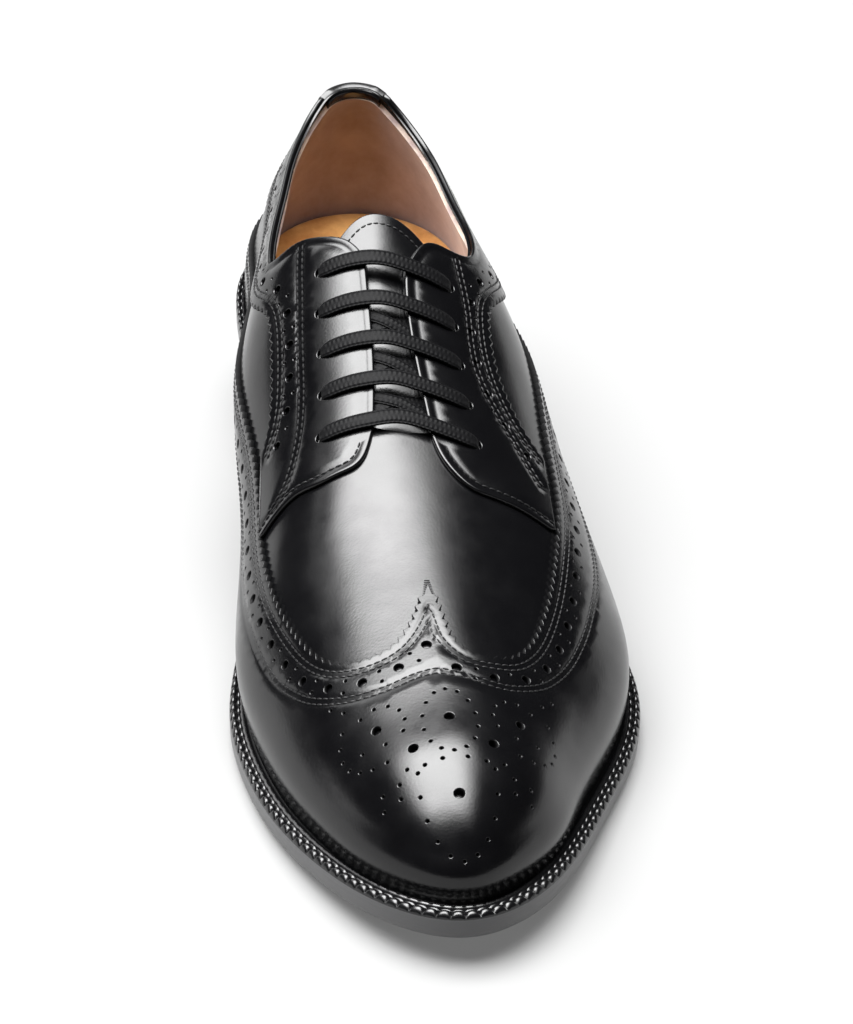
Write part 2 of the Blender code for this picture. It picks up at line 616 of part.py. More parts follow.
def ribbon(path, normals, width, thick):
    """Closed flat lace along a path, with rounded edges."""
    path, normals = np.asarray(path), np.asarray(normals)
    along = np.gradient(path, axis=0)
    along /= np.linalg.norm(along, axis=1, keepdims=True)
    across = np.cross(along, normals)
    across /= np.linalg.norm(across, axis=1, keepdims=True)
    up = np.cross(across, along)
    section = list(zip(LACE_SECTION["across"], LACE_SECTION["up"]))
    points = np.concatenate([path + across * a * width + up * b * thick for a, b in section])
    rows, sides = len(path), len(section)
    faces = []
    for k in range(sides):
        here, beside = k * rows, (k + 1) % sides * rows
        faces += [(here + i, here + i + 1, beside + i + 1, beside + i) for i in range(rows - 1)]
    faces += [tuple(k * rows for k in range(sides)), tuple(k * rows + rows - 1 for k in range(sides))]
    return points, faces


def bar_path(k):
    """A bar from its medial to its lateral eyelet, over both facings."""
    height = GAP + OVERLAY + GAP + LACE_THICK / 2
    path, normals = [], []
    for side, order in (("medial", 1), ("lateral", -1)):
        way, rise = EYELETS["way_" + side[:3]][k], EYELETS["rise_" + side[:3]][k]
        edge = np.interp(way, THROAT[side]["way"], THROAT[side]["rise"])
        v = np.linspace(rise, edge, BAR_STEPS)[::order]
        u = np.full(BAR_STEPS, side_u(side, way))
        normal = last_normal(u, v)
        path += list(last_point(u, v) + normal * height)
        normals += list(normal)
    return np.array(path), np.array(normals)


def strand_path(above, below, lean):
    """A strand that slants from the middle of one bar, under the slot, to the next bar."""
    (a, na), (b, nb) = above, below
    slant = np.array([lean, 0, 0])
    sink = -STRAND_SINK * (na + nb) / 2
    near, far = a + (b - a) * 0.3 + slant / 2 + sink, a + (b - a) * 0.7 - slant / 2 + sink
    return np.array([a + slant, near, far, b - slant]), np.array([na, na, nb, nb])


def add_run(points, faces):
    """A loose closed mesh, one run of the lace."""
    mesh = bpy.data.meshes.new("lace_run")
    mesh.from_pydata([tuple(p) for p in to_world(points)], [], faces)
    bm = bmesh.new()
    bm.from_mesh(mesh)
    bmesh.ops.recalc_face_normals(bm, faces=bm.faces)
    bm.to_mesh(mesh)
    bm.free()
    run = bpy.data.objects.new("lace_run", mesh)
    bpy.context.scene.collection.objects.link(run)
    return run


def make_laces():
    bars = [bar_path(k) for k in range(len(EYELETS["way_lat"]))]
    slot = slice(BAR_STEPS - 1, BAR_STEPS + 1)
    middles = [(path[slot].mean(0), normals[slot].mean(0)) for path, normals in bars]
    runs = [add_run(*ribbon(*bar, LACE_WIDTH, LACE_THICK)) for bar in bars]
    for k in range(len(bars) - 1):
        strand = strand_path(middles[k], middles[k + 1], STRAND_LEAN * (-1) ** (k + 1))
        runs.append(add_run(*ribbon(*strand, STRAND_WIDTH, STRAND_THICK)))
    whole = runs[0]
    for run in runs[1:]:
        union = whole.modifiers.new("join", "BOOLEAN")
        union.operation = "UNION"
        union.solver = "EXACT"
        union.object = run
    bpy.context.view_layer.update()
    joined = bpy.data.meshes.new_from_object(whole.evaluated_get(bpy.context.evaluated_depsgraph_get()))
    points = np.array([tuple(v.co) for v in joined.vertices])
    faces = [tuple(p.vertices) for p in joined.polygons]
    for run in runs:
        bpy.data.objects.remove(run)
    add_object("laces", points, faces)


def main():
    for obj in list(bpy.data.objects):
        bpy.data.objects.remove(obj)
    make_sole()
    make_upper()
    make_laces()


main()
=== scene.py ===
"""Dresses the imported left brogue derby: panels, punched holes, seams, laces, wheeled welt, stage.

Lengths are in millimetres until to_world turns them into metres. s is the distance forward from the
back of the heel, x the distance to the outer side, z the height over the floor. On the last, u runs
round the shoe (0 heel back, 1 toe, 2 heel back again, outer side first) and v runs up a rib from the
feather line (0) to the crest of the instep (1).
"""

import bmesh
import bpy
import numpy as np
from bpy.props import FloatProperty, FloatVectorProperty, PointerProperty
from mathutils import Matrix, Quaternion, Vector, geometry, kdtree


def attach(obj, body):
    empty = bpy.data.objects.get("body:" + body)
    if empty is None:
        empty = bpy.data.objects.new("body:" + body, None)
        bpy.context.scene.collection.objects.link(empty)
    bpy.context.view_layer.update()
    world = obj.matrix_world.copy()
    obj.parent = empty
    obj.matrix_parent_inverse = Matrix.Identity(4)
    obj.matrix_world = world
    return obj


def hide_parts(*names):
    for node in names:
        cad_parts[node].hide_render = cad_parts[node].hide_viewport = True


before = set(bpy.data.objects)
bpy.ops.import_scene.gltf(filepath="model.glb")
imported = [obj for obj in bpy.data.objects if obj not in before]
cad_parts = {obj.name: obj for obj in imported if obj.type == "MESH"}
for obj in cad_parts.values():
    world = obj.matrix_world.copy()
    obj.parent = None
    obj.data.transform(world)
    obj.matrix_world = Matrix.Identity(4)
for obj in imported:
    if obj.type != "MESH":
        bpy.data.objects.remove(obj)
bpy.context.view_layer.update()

bl_info = {
    "name": "Brogue derby",
    "version": (1, 0, 0),
    "blender": (4, 5, 0),
    "location": "View3D > Sidebar > Derby",
    "description": "Dresses a lasted derby with wing tip, facings, laces, welt, heel and stage",
    "category": "Object",
}

MM = 0.001

# Sizes shared with the solids
LENGTH = 304.0
HEEL_HEIGHT = 28.0
TOP_LIFT = 6.0
HEEL_BREAST = 80.0
WAIST_FRONT = 188.0
TREAD_FRONT = 214.0
TOE_SPRING = 9.0
SOLE = 5.2
WELT = 3.2
GAP = 0.3
GROOVE = 1.0
RIM_CLEAR = 2.2
SEAT_WIDTH = 13.5
INSOLE_FORE = 2.5
INSOLE_HEEL = 9.0
WALL = 1.8
OVERLAY = 1.4             # top of wing, facings and backstay over the upper
TONGUE_OUT, TONGUE_IN = -2.1, -3.7
BACKSTAY_HALF = 7.5
ARCH_START = 62.0
SPRING_POWER = 1.8
PAD_FADE = (60.0, 125.0)
LEVEL_RISE = 0.08
CREST_SIDE = 0.995
TUCK = -0.012             # rise at which panels end, down in the welt's groove
TAB_HALF = 0.062          # half of the heel tab, in ways
STAY_TOP = 0.540          # backstay's rise, just under the collar
SIDES = ("lateral", "medial")

# Low relief of the wing. Sides: height and the rise at which it ends, and the same at the toe. Toe: a
# dome's middle, half-sizes and height. The ways tell where the sides' relief begins and the toe's takes over.
SIDE_SWELL = {"height": 1.2, "top": 0.37, "toe_height": 0.8, "toe_top": 0.23}
TOE_SWELL = {"x": 9.0, "s": 270.0, "wide": 30.0, "long": 14.0, "height": 1.9}
SWELL_BEGINS, SWELL_TOE = (0.50, 0.62), (0.68, 0.82)

# Inside the collar, from the top down: black turned edge, raw edge of the lining, lining
LIP, RAW = 2.4, 0.8
LIP_WALL = 0.9            # wall at the turned edge
RAW_OUT = 0.25            # how far the raw edge stands in from the wall
RAW_FADE = 5.0            # depth over which the lining falls back to the wall

# Seams: the two rows beside a cut edge, the second row of an inner seam, the punched bands, single rows
SEAM_ROWS = {"row_1": 1.7, "row_2": 3.3}
SEAM_PAIR = 1.6
WING_BAND, FACING_BAND = 6.5, 6.0
FRONT_ROW, BEAD_ROW, TONGUE_ROW = 1.9, 1.8, 2.8
SMALL_ASIDE = 1.75        # small holes on either side of a band's middle
TROUGH, FACING_TROUGH = (0.2, 0.62), (0.25, 0.7)     # depth and breadth of the dent that thread draws
THREAD_SUNK = 0.2         # thread under the top of its panel
# One stitch: places along it with their girth, thread's share of the length, and in thread breadths its
# half height, how high its middle stands and how steeply its ends dive
STITCH_RINGS = ((-0.5, 0.15), (-0.34, 0.8), (0, 1.0), (0.34, 0.8), (0.5, 0.15))
STITCH_FILL, STITCH_HIGH, STITCH_ARCH, STITCH_DIVE = 0.86, 0.42, 0.30, 1.1
# Bars of thread over the wing's peak, narrower towards the throat
BARTACK = {"half": 1.2, "taper": 5.0, "start": -0.4, "stop": 3.6, "pitch": 0.5, "height": 0.35, "stitch": 3.0}

# Rims of panels and holes, as steps out and down from the top
WING_RIM = ((0.16, 0.08), (0.25, 0.3), (0.25, 0.9))
FACING_RIM = ((0.3, 0.08), (0.55, 0.3), (0.65, 0.7), (0.5, 1.2))
STAY_RIM = ((0.2, 0.08), (0.38, 0.35), (0.38, 1.0))
TONGUE_RIM = ((0.25, 0.1), (0.45, 0.5), (0.45, 1.1))
UPPER_RIM = ((0.25, 0.1), (0.45, 0.4), (0.5, 0.8))
FEATHER_RIM = ((0, 0.9),)
HOLE_RIM = ((0.2, 0.1), (0.32, 0.35), (0.3, 0.9))
NO_HOLE = ((0, 0.5),)
STAY_OVER = 0.2           # backstay over the other overlays
EYELET_UPPER, EYELET_FACING = 1.7, 1.75     # radius through upper and facing

# Net of a panel: points beside a seam's row and round a hole, and how near to others a point may be
SEAM_SHIFTS = (-0.75, 0, 0.75)
HOLE_RING = 0.55
SEAM_THIN = 0.6
HOLE_CLEAR, SEAM_CLEAR, NET_CLEAR = 0.4, 0.5, 0.6

# Lace: breadth and thickness folded in the eyelets, how much thinner it lies on top, strands below
LACE_FOLDED, LACE_THICK, LACE_THIN = 2.9, 1.9, 0.7
STRAND_WIDE, STRAND_THICK = 3.6, 1.0

# Stage, in metres; the roll keeps the shoe's lean in the photo
FLOOR_SIZE = 12.0
CAMERA_AT, CAMERA_AIM = (-0.197, -1.585, 1.134), (0.002, -0.005, 0.042)
ROLL = np.radians(1.12)
# Overhead light and a dim one behind: sides in heights over the shoe, towards +X and +Y, softness and glow
SOFTBOXES = (((-0.88, 0.31), (-0.3, 0.53), (0.32, 0.16), 1.0),
             ((-1.3, 0.1), (1.0, 1.9), (0.35, 0.35), 0.18))
LOWEST_LOOK = 0.05        # keeps the light's plan from running away at the horizon
DARK_ROOM = 0.02          # glow of the room above the horizon


def columns(names, rows):
    """A table as a dictionary of named columns."""
    return dict(zip(names.split(), np.array(rows, float).T))


# Half-breadth of the welt's edge from the heel-to-toe line
OUTLINE = columns("s lateral medial", [
    (0, 0, 0), (4, 15.8, 15.8), (14, 27.5, 27.3), (30, 34.8, 34.2),
    (50, 36.8, 35.6), (80, 37.5, 36.0), (115, 41.5, 37.0), (150, 50.5, 42.0),
    (180, 57.8, 49.2), (200, 59.2, 51.8), (222, 55.0, 50.3), (245, 45.6, 45.4),
    (268, 35.4, 36.5), (287, 24.6, 25.4), (299, 13.2, 13.6), (304, 0, 0)])
# How far the welt stands out from the feather line
REACH = columns("s reach", [
    (0, 5.0), (40, 4.6), (110, 4.4), (190, 6.0), (250, 7.0), (304, 8.2)])
# Crest of the last: sideways place, height and fall towards the lateral side
CREST = columns("s x z fall", [
    (42, 0.0, 114.0, 0.0), (60, -0.5, 114.0, 0.03), (80, -1.0, 109.5, 0.08),
    (100, -1.5, 101.0, 0.13), (120, -2.0, 91.5, 0.16), (145, -2.0, 80.0, 0.15),
    (170, -1.5, 69.5, 0.10), (195, -1.0, 61.3, 0.04), (222, -0.5, 54.0, 0.0)])
# Ribs: rise and outward lean of the lower handle, and the upper handle's share of the plan reach
RIBS = columns("s lift_lat lean_lat crown_lat lift_med lean_med crown_med", [
    (0, 28, 2.5, 0.80, 28, 2.5, 0.80), (12, 28, 2.5, 0.37, 28, 3.5, 0.30),
    (40, 28, 2.5, 0.22, 28, 6, 0.22), (75, 29, 9, 0.43, 29, 11, 0.60),
    (105, 29, 17, 0.62, 30, 25, 0.62), (140, 27, 15, 0.58, 32, 23, 0.52),
    (175, 24, 10, 0.60, 30, 14, 0.50), (205, 22, 6, 0.62, 27, 8, 0.55),
    (240, 22, 4, 0.62, 24, 4, 0.60), (275, 23, 3, 0.60, 23, 3, 0.60),
    (304, 24, 2, 0.58, 24, 2, 0.58)])

# Pattern lines on the last: way from heel back to toe, rise from feather to crest
COLLAR = {
    "lateral": columns("way rise", [
        (0, 0.565), (0.045, 0.562), (0.07, 0.540), (0.10, 0.500), (0.15, 0.455), (0.20, 0.438),
        (0.25, 0.438), (0.29, 0.452), (0.32, 0.475), (0.345, 0.520), (0.368, 0.575)]),
    "medial": columns("way rise", [
        (0, 0.565), (0.045, 0.562), (0.07, 0.545), (0.10, 0.515), (0.15, 0.490), (0.20, 0.475),
        (0.25, 0.465), (0.29, 0.460), (0.32, 0.468), (0.345, 0.490), (0.368, 0.520)])}
FACING_TOP = {
    "lateral": columns("way rise", [
        (0.368, 0.575), (0.384, 0.625), (0.393, 0.680), (0.397, 0.744), (0.399, 0.806), (0.408, 0.860),
        (0.425, 0.905)]),
    "medial": columns("way rise", [
        (0.368, 0.520), (0.374, 0.573), (0.378, 0.653), (0.385, 0.723), (0.394, 0.794), (0.406, 0.860),
        (0.425, 0.910)])}
THROAT = {
    "lateral": columns("way rise", [(0.425, 0.905), (0.45, 0.928), (0.52, 0.931), (0.59, 0.922)]),
    "medial": columns("way rise", [(0.425, 0.910), (0.45, 0.906), (0.52, 0.902), (0.58, 0.884)])}
THROAT_END = 0.612
FACING_FRONT = {
    "lateral": columns("way rise", [
        (0.59, 0.922), (0.611, 0.898), (0.620, 0.840), (0.612, 0.775), (0.600, 0.700), (0.592, 0.630),
        (0.586, 0.566)]),
    "medial": columns("way rise", [
        (0.58, 0.884), (0.597, 0.846), (0.598, 0.800), (0.590, 0.744), (0.577, 0.655), (0.562, 0.555),
        (0.552, 0.400)])}
FACING_END = 0.066        # way at which a facing stops beside the backstay
# Gimped back edge of a facing, up from the wing and back along the topline
FACING_BACK = {
    "lateral": columns("way rise", [
        (0.522, 0.530), (0.510, 0.608), (0.479, 0.650), (0.444, 0.645), (0.418, 0.605), (0.390, 0.490),
        (0.362, 0.395), (0.33, 0.360), (0.28, 0.335), (0.21, 0.335), (0.14, 0.350), (FACING_END, 0.390)]),
    "medial": columns("way rise", [
        (0.500, 0.428), (0.486, 0.492), (0.457, 0.528), (0.428, 0.545), (0.404, 0.520), (0.380, 0.440),
        (0.352, 0.385), (0.325, 0.360), (0.28, 0.350), (0.21, 0.365), (0.14, 0.375), (FACING_END, 0.390)])}
# Inner seam of a facing, up from the wing to the facing's top
FACING_SEAM = {
    "lateral": columns("way rise", [
        (0.552, 0.575), (0.547, 0.601), (0.525, 0.662), (0.492, 0.717), (0.446, 0.709), (0.418, 0.709),
        (0.399, 0.708)]),
    "medial": columns("way rise", [
        (0.548, 0.470), (0.545, 0.540), (0.518, 0.600), (0.471, 0.626), (0.430, 0.651), (0.402, 0.662),
        (0.382, 0.668)])}
WING_PEAK = 0.856
WING_EDGE = {
    "lateral": columns("way rise", [
        (0.872, 0.880), (0.845, 0.807), (0.812, 0.735), (0.783, 0.676), (0.756, 0.620), (0.724, 0.577),
        (0.690, 0.562), (0.641, 0.563), (0.600, 0.553), (0.56, 0.520), (0.50, 0.455), (0.44, 0.370),
        (0.38, 0.275), (0.32, 0.212), (0.25, 0.185), (0.15, 0.180), (0.06, 0.185)]),
    "medial": columns("way rise", [
        (0.834, 0.888), (0.812, 0.795), (0.792, 0.729), (0.769, 0.663), (0.740, 0.585), (0.710, 0.520),
        (0.675, 0.474), (0.631, 0.439), (0.590, 0.415), (0.55, 0.395), (0.50, 0.380), (0.44, 0.330),
        (0.38, 0.262), (0.32, 0.212), (0.25, 0.185), (0.15, 0.180), (0.06, 0.185)])}
# Lower seam of the wing's punched band, from the middle of the toe back to the heel
WING_SEAM = {
    "lateral": columns("way rise", [
        (0.985, 0.846), (0.940, 0.828), (0.879, 0.776), (0.828, 0.689), (0.791, 0.607), (0.755, 0.532),
        (0.728, 0.482), (0.698, 0.447), (0.674, 0.435), (0.647, 0.429), (0.621, 0.422), (0.594, 0.404),
        (0.56, 0.372), (0.50, 0.305), (0.44, 0.228), (0.38, 0.150), (0.32, 0.098), (0.25, 0.080),
        (0.15, 0.076), (0.06, 0.080)]),
    "medial": columns("way rise", [
        (0.985, 0.846), (0.935, 0.832), (0.868, 0.769), (0.820, 0.679), (0.786, 0.599), (0.757, 0.524),
        (0.729, 0.456), (0.707, 0.407), (0.682, 0.364), (0.664, 0.338), (0.642, 0.322), (0.620, 0.314),
        (0.585, 0.300), (0.55, 0.282), (0.50, 0.258), (0.44, 0.210), (0.38, 0.148), (0.32, 0.098),
        (0.25, 0.080), (0.15, 0.076), (0.06, 0.080)])}
TONGUE_EDGE = {
    "lateral": columns("way rise", [
        (0.381, 0.900), (0.398, 0.800), (0.425, 0.725), (0.475, 0.690), (0.54, 0.690), (0.60, 0.730),
        (0.632, 0.850)]),
    "medial": columns("way rise", [
        (0.380, 0.900), (0.394, 0.800), (0.418, 0.700), (0.465, 0.640), (0.52, 0.630), (0.58, 0.680),
        (0.625, 0.840)])}
TONGUE_TOP, TONGUE_FOOT = 0.376, 0.645
# Five pairs of eyelets, top to bottom
EYELETS = columns("way_lat rise_lat way_med rise_med", [
    (0.432, 0.775, 0.418, 0.745), (0.466, 0.783, 0.450, 0.727), (0.500, 0.790, 0.482, 0.716),
    (0.535, 0.797, 0.515, 0.707), (0.570, 0.797, 0.547, 0.692)])
# Toe medallion, mirrored about the toe's middle: each row is an arc of small holes
MEDALLION = columns("x s wide deep start stop count", [
    (0, 258.4, 6.7, 10.4, -90, 90, 8), (0, 276.0, 9.2, 17.5, -10, 90, 6), (7.2, 270.8, 4.3, 0.6, 180, 0, 3),
    (15.6, 275.3, 2.9, 2.4, 45, 315, 4), (18, 256, 7.1, 7.1, 155, 300, 6), (18, 256, 5.2, 5.2, 45, 112, 2),
    (16, 254.5, 10.9, 11.6, -22, 90, 7), (26.8, 243.2, 2.1, 2.3, 135, -45, 2)])
MEDALLION_LARGE = columns("x s", [(0, 257.5), (0, 280.5), (9.6, 265.5), (18, 255.5)])


def linear(code):
    """sRGB hex code as linear red, green, blue."""
    srgb = np.array([int(code[i:i + 2], 16) for i in (1, 3, 5)]) / 255
    return tuple(float(c) for c in np.where(srgb <= 0.04045, srgb / 12.92, ((srgb + 0.055) / 1.055) ** 2.4))


# The last

def spline(xs, ys, clamped=False):
    """Cubic spline through a column; clamped ends are level, others are free."""
    n, h = len(xs), np.diff(xs)
    d = np.diff(ys) / h
    a, r = np.zeros((n, n)), np.zeros(n)
    for i in range(1, n - 1):
        a[i, i - 1:i + 2] = h[i - 1], 2 * (h[i - 1] + h[i]), h[i]
        r[i] = 6 * (d[i] - d[i - 1])
    if clamped:
        a[0, :2] = 2 * h[0], h[0]
        a[-1, -2:] = h[-1], 2 * h[-1]
        r[0], r[-1] = 6 * d[0], -6 * d[-1]
    else:
        a[0, 0] = a[-1, -1] = 1
    m = np.linalg.solve(a, r)

    def value(x, slope=False):
        x = np.asarray(x, float)
        i = np.clip(np.searchsorted(xs, x) - 1, 0, n - 2)
        t = x - xs[i]
        b = d[i] - h[i] * (2 * m[i] + m[i + 1]) / 6
        c = (m[i + 1] - m[i]) / (6 * h[i])
        if slope:
            return b + m[i] * t + 3 * c * t * t
        return ys[i] + b * t + m[i] / 2 * t * t + c * t ** 3
    return value


def way_of(s):
    """Way 0 to 1 from heel back to toe tip; its cosine spacing rounds both ends."""
    return np.arccos(np.clip(1 - 2 * s / LENGTH, -1, 1)) / np.pi


def smooth_step(lo, hi, x):
    """0 below lo, 1 above hi, with a soft change between them."""
    t = np.clip((x - lo) / (hi - lo), 0, 1)
    return t * t * (3 - 2 * t)


def unit(vectors):
    return vectors / np.linalg.norm(vectors, axis=-1, keepdims=True)


HALF_LAT = spline(way_of(OUTLINE["s"]), OUTLINE["lateral"])
HALF_MED = spline(way_of(OUTLINE["s"]), OUTLINE["medial"])
REACH_AT = spline(way_of(REACH["s"]), REACH["reach"])
CREST_X, CREST_Z, CREST_FALL = (spline(CREST["s"], CREST[k]) for k in ("x", "z", "fall"))
RIB = {k: spline(way_of(RIBS["s"]), RIBS[k], clamped=True) for k in RIBS if k != "s"}
FINE_WAY = np.linspace(0, 1, 401)
X_MID = (HALF_LAT(FINE_WAY).max() - HALF_MED(FINE_WAY).max()) / 2


def underside(s):
    """Height of the sole's underside: heel seat, arch, tread on the floor, toe spring."""
    arch = HEEL_HEIGHT * (1 - smooth_step(ARCH_START, WAIST_FRONT, s))
    toe = np.clip((s - TREAD_FRONT) / (LENGTH - TREAD_FRONT), 0, None)
    return arch + TOE_SPRING * toe ** SPRING_POWER


def edge_point(u, inset):
    """Plan point of the welt's edge at u moved in by inset, with the outward direction."""
    side = np.where(np.mod(u, 2.0) <= 1, 1.0, -1.0)
    way = np.where(side > 0, np.mod(u, 2.0), 2 - np.mod(u, 2.0))

    def plan(q):
        folded = np.where(q < 0, -q, np.where(q > 1, 2 - q, q))
        flip = np.where((q < 0) | (q > 1), -1, 1)
        half = np.where(side > 0, HALF_LAT(folded), HALF_MED(folded))
        return flip * side * half, LENGTH * (1 - np.cos(np.pi * folded)) / 2
    h = 1e-4
    (xa, sa), (xb, sb) = plan(way - h), plan(way + h)
    size = np.hypot(xb - xa, sb - sa)
    nx, ns = side * (sb - sa) / size, -side * (xb - xa) / size
    x, s = plan(way)
    return x - inset * nx, s - inset * ns, nx, ns


def last_point(u, v):
    """Surface of the last at u, v: a cubic rib from the feather line to the crest."""
    u, v = np.broadcast_arrays(np.mod(u, 2.0), v)
    side = np.where(u <= 1, 1.0, -1.0)
    way = np.where(u <= 1, u, 2 - u)
    fx, fs, nx, ns = edge_point(u, REACH_AT(way))
    foot = np.stack([fx, fs, underside(fs) + SOLE + WELT + 2 * GAP - GROOVE], -1)
    lift, lean, crown = (np.where(side > 0, RIB[k + "_lat"](way), RIB[k + "_med"](way))
                         for k in ("lift", "lean", "crown"))
    low = foot + np.stack([lean * nx, lean * ns, lift], -1)
    s0, s1 = CREST["s"][0], CREST["s"][-1]
    ts = s0 + (s1 - s0) * (1 - np.cos(np.pi * way)) / 2
    top = np.stack([CREST_X(ts), ts, CREST_Z(ts)], -1)
    dx, ds = crown * (fx - top[..., 0]), crown * (fs - ts)
    fall, bend, slope = CREST_FALL(ts), CREST_X(ts, True), CREST_Z(ts, True)
    high = top + np.stack([dx, ds, slope * ds - fall * (dx - bend * ds)], -1)
    t, w = v[..., None], 1 - v[..., None]
    return w ** 3 * foot + 3 * w * w * t * low + 3 * w * t * t * high + t ** 3 * top


def last_slopes(u, v):
    """Change of the surface per unit of u and of v."""
    h = 1e-4
    along = (last_point(u + h, v) - last_point(u - h, v)) / (2 * h)
    rise = (last_point(u, v + h) - last_point(u, v - h)) / (2 * h)
    return along, rise


def last_normal(u, v):
    """Outward unit normal, level where the wall stands on the welt."""
    along, rise = last_slopes(u, np.minimum(v, CREST_SIDE))
    normal = unit(np.cross(along, rise))
    normal[..., 2] *= np.clip(v / LEVEL_RISE, 0, 1)
    return unit(normal)


def to_world(points):
    """From x, s, z in mm to metres with the origin under the middle of the shoe."""
    points = np.asarray(points, float)
    return np.stack([points[..., 0] - X_MID, LENGTH / 2 - points[..., 1], points[..., 2]], -1) * MM


# The upper laid flat: each rib turned out from the crest, so the whole last is one sheet

def flat_frame(u):
    """Crest point, plan direction and flat length of the rib at u."""
    one, none = np.ones_like(u), np.zeros_like(u)
    foot, middle, top = last_point(u, none), last_point(u, one / 2), last_point(u, one)
    plan = (foot - top)[..., :2]
    reach = np.linalg.norm(plan, axis=-1)
    rib = np.linalg.norm(foot - middle, axis=-1) + np.linalg.norm(middle - top, axis=-1)
    return top[..., :2], plan / reach[..., None], np.sqrt(reach * rib)


FLAT_U = np.linspace(0, 2, 601)
FLAT_TOP, FLAT_WAY, FLAT_LENGTH = flat_frame(FLAT_U)


def to_flat(chart):
    """Flat points of places u, v on the last."""
    u, v = np.asarray(chart, float).T
    top, way, length = flat_frame(u)
    return top + way * (length * (1 - v))[:, None]


def from_flat(points):
    """Chart u, v of flat points: the rib whose line passes through each."""
    charts = []
    for part in np.array_split(points, len(points) // 1000 + 1):
        reach = part[:, None] - FLAT_TOP
        off = reach[..., 0] * FLAT_WAY[:, 1] - reach[..., 1] * FLAT_WAY[:, 0]
        ahead = (reach * FLAT_WAY).sum(-1)
        near, after = off[:, :-1], off[:, 1:]
        rest = np.where(near == after, 1, near - after)
        share = np.clip(near / rest, 0, 1)
        far = ahead[:, :-1] + share * (ahead[:, 1:] - ahead[:, :-1])
        cost = np.abs(near) + 1000 * np.maximum(0, -far)
        k = np.where(near * after <= 0, cost, np.inf).argmin(1)
        row = np.arange(len(part))
        share, far = share[row, k], np.maximum(far[row, k], 0)
        full = FLAT_LENGTH[k] + share * (FLAT_LENGTH[k + 1] - FLAT_LENGTH[k])
        charts.append(np.stack([FLAT_U[k] + share * (FLAT_U[k + 1] - FLAT_U[k]), 1 - far / full], 1))
    return np.concatenate(charts)


# Lines on the last, as flat points

def side_u(side, way):
    return way if side == "lateral" else 2 - way


def on_last(flat, height=0.0):
    """Points in x, s, z over flat points, a height above the last."""
    u, v = from_flat(flat).T
    height = np.broadcast_to(height, u.shape)[:, None]
    return last_point(u, v) + height * last_normal(u, v)


def flat_normals(flat):
    return last_normal(*from_flat(flat).T)


def spaced(flat, step):
    """A line with its points an even step apart on the leather."""
    run = run_of(on_last(flat))
    even = np.linspace(0, run[-1], max(2, int(round(run[-1] / step)) + 1))
    return np.stack([np.interp(even, run, flat[:, k]) for k in (0, 1)], 1)


def run_of(points):
    """Distance from the start at each point of a line."""
    return np.concatenate([[0], np.cumsum(np.linalg.norm(np.diff(points, axis=0), axis=1))])


def pattern_line(table, side, step=1.0, start=None):
    """Pattern line of one side, smoothed through its rows; start is a way on the crest."""
    way, rise = table["way"], table["rise"]
    knots = np.arange(len(way), dtype=float)
    fine = np.linspace(0, knots[-1], 24 * len(knots))
    way, rise = spline(knots, way)(fine), spline(knots, rise)(fine)
    flat = to_flat(np.stack([side_u(side, way), rise], 1))
    if start is not None:
        flat = np.concatenate([to_flat([(start, 1.0)]), flat])
    return spaced(flat, step)


def stretch(flat):
    """Change of the surface per flat step along x and along y."""
    u, v = from_flat(flat).T
    v = np.minimum(v, CREST_SIDE)
    along, rise = last_slopes(u, v)
    h = 1e-4
    flat_u = (to_flat(np.stack([u + h, v], 1)) - to_flat(np.stack([u - h, v], 1))) / (2 * h)
    flat_v = (to_flat(np.stack([u, v + h], 1)) - to_flat(np.stack([u, v - h], 1))) / (2 * h)
    size = (flat_u[:, :1] * flat_v[:, 1:] - flat_u[:, 1:] * flat_v[:, :1])
    by_x = (along * flat_v[:, 1:] - rise * flat_u[:, 1:]) / size
    by_y = (rise * flat_u[:, :1] - along * flat_v[:, :1]) / size
    return by_x, by_y


def moved(flat, offsets):
    """Flat points moved by small x, s, z offsets along the leather."""
    by_x, by_y = stretch(flat)
    xx, xy, yy = (by_x * by_x).sum(1), (by_x * by_y).sum(1), (by_y * by_y).sum(1)
    dx, dy = (by_x * offsets).sum(1), (by_y * offsets).sum(1)
    size = xx * yy - xy * xy
    return flat + np.stack([(yy * dx - xy * dy) / size, (xx * dy - xy * dx) / size], 1)


def across(flat):
    """Unit directions across a line, in the leather, to the left seen from outside."""
    return unit(np.cross(flat_normals(flat), np.gradient(on_last(flat), axis=0)))


def side_sign(flat, toward):
    """Sign that turns the directions across a line towards a flat point, or up (True) or down (False)."""
    beside_it = moved(flat, across(flat))
    if isinstance(toward, bool):
        higher = (from_flat(beside_it) - from_flat(flat))[:, 1].mean() > 0
        return 1.0 if higher == toward else -1.0
    nearer = np.linalg.norm(beside_it - toward, axis=1) < np.linalg.norm(flat - toward, axis=1)
    return 1.0 if nearer.mean() > 0.5 else -1.0


def beside(flat, distance, toward, step=1.0):
    """The line a distance away from another, on the side of a flat point."""
    strides = int(np.ceil(distance / 1.2))
    sign = side_sign(flat, toward)
    for _ in range(strides):
        flat = spaced(moved(flat, across(flat) * sign * distance / strides), step)
    return flat


def from_nearest(points):
    """Function that gives the vectors to other points from the nearest of these."""
    points = np.asarray(points, float)
    tree = kdtree.KDTree(len(points))
    for i, p in enumerate(points):
        tree.insert((*p, 0) if len(p) == 2 else p, i)
    tree.balance()

    def vectors(others):
        found = [tree.find((*p, 0) if len(p) == 2 else p)[1] for p in others]
        return np.asarray(others) - points[found]
    return vectors


def nearest(points):
    """Function that tells how far other points are from the nearest of these."""
    vectors = from_nearest(points)
    return lambda others: np.linalg.norm(vectors(others), axis=1)


def clear_of(flat, other, distance):
    """The points of a line that keep a distance from another line."""
    return flat[nearest(on_last(other))(on_last(flat)) > distance]


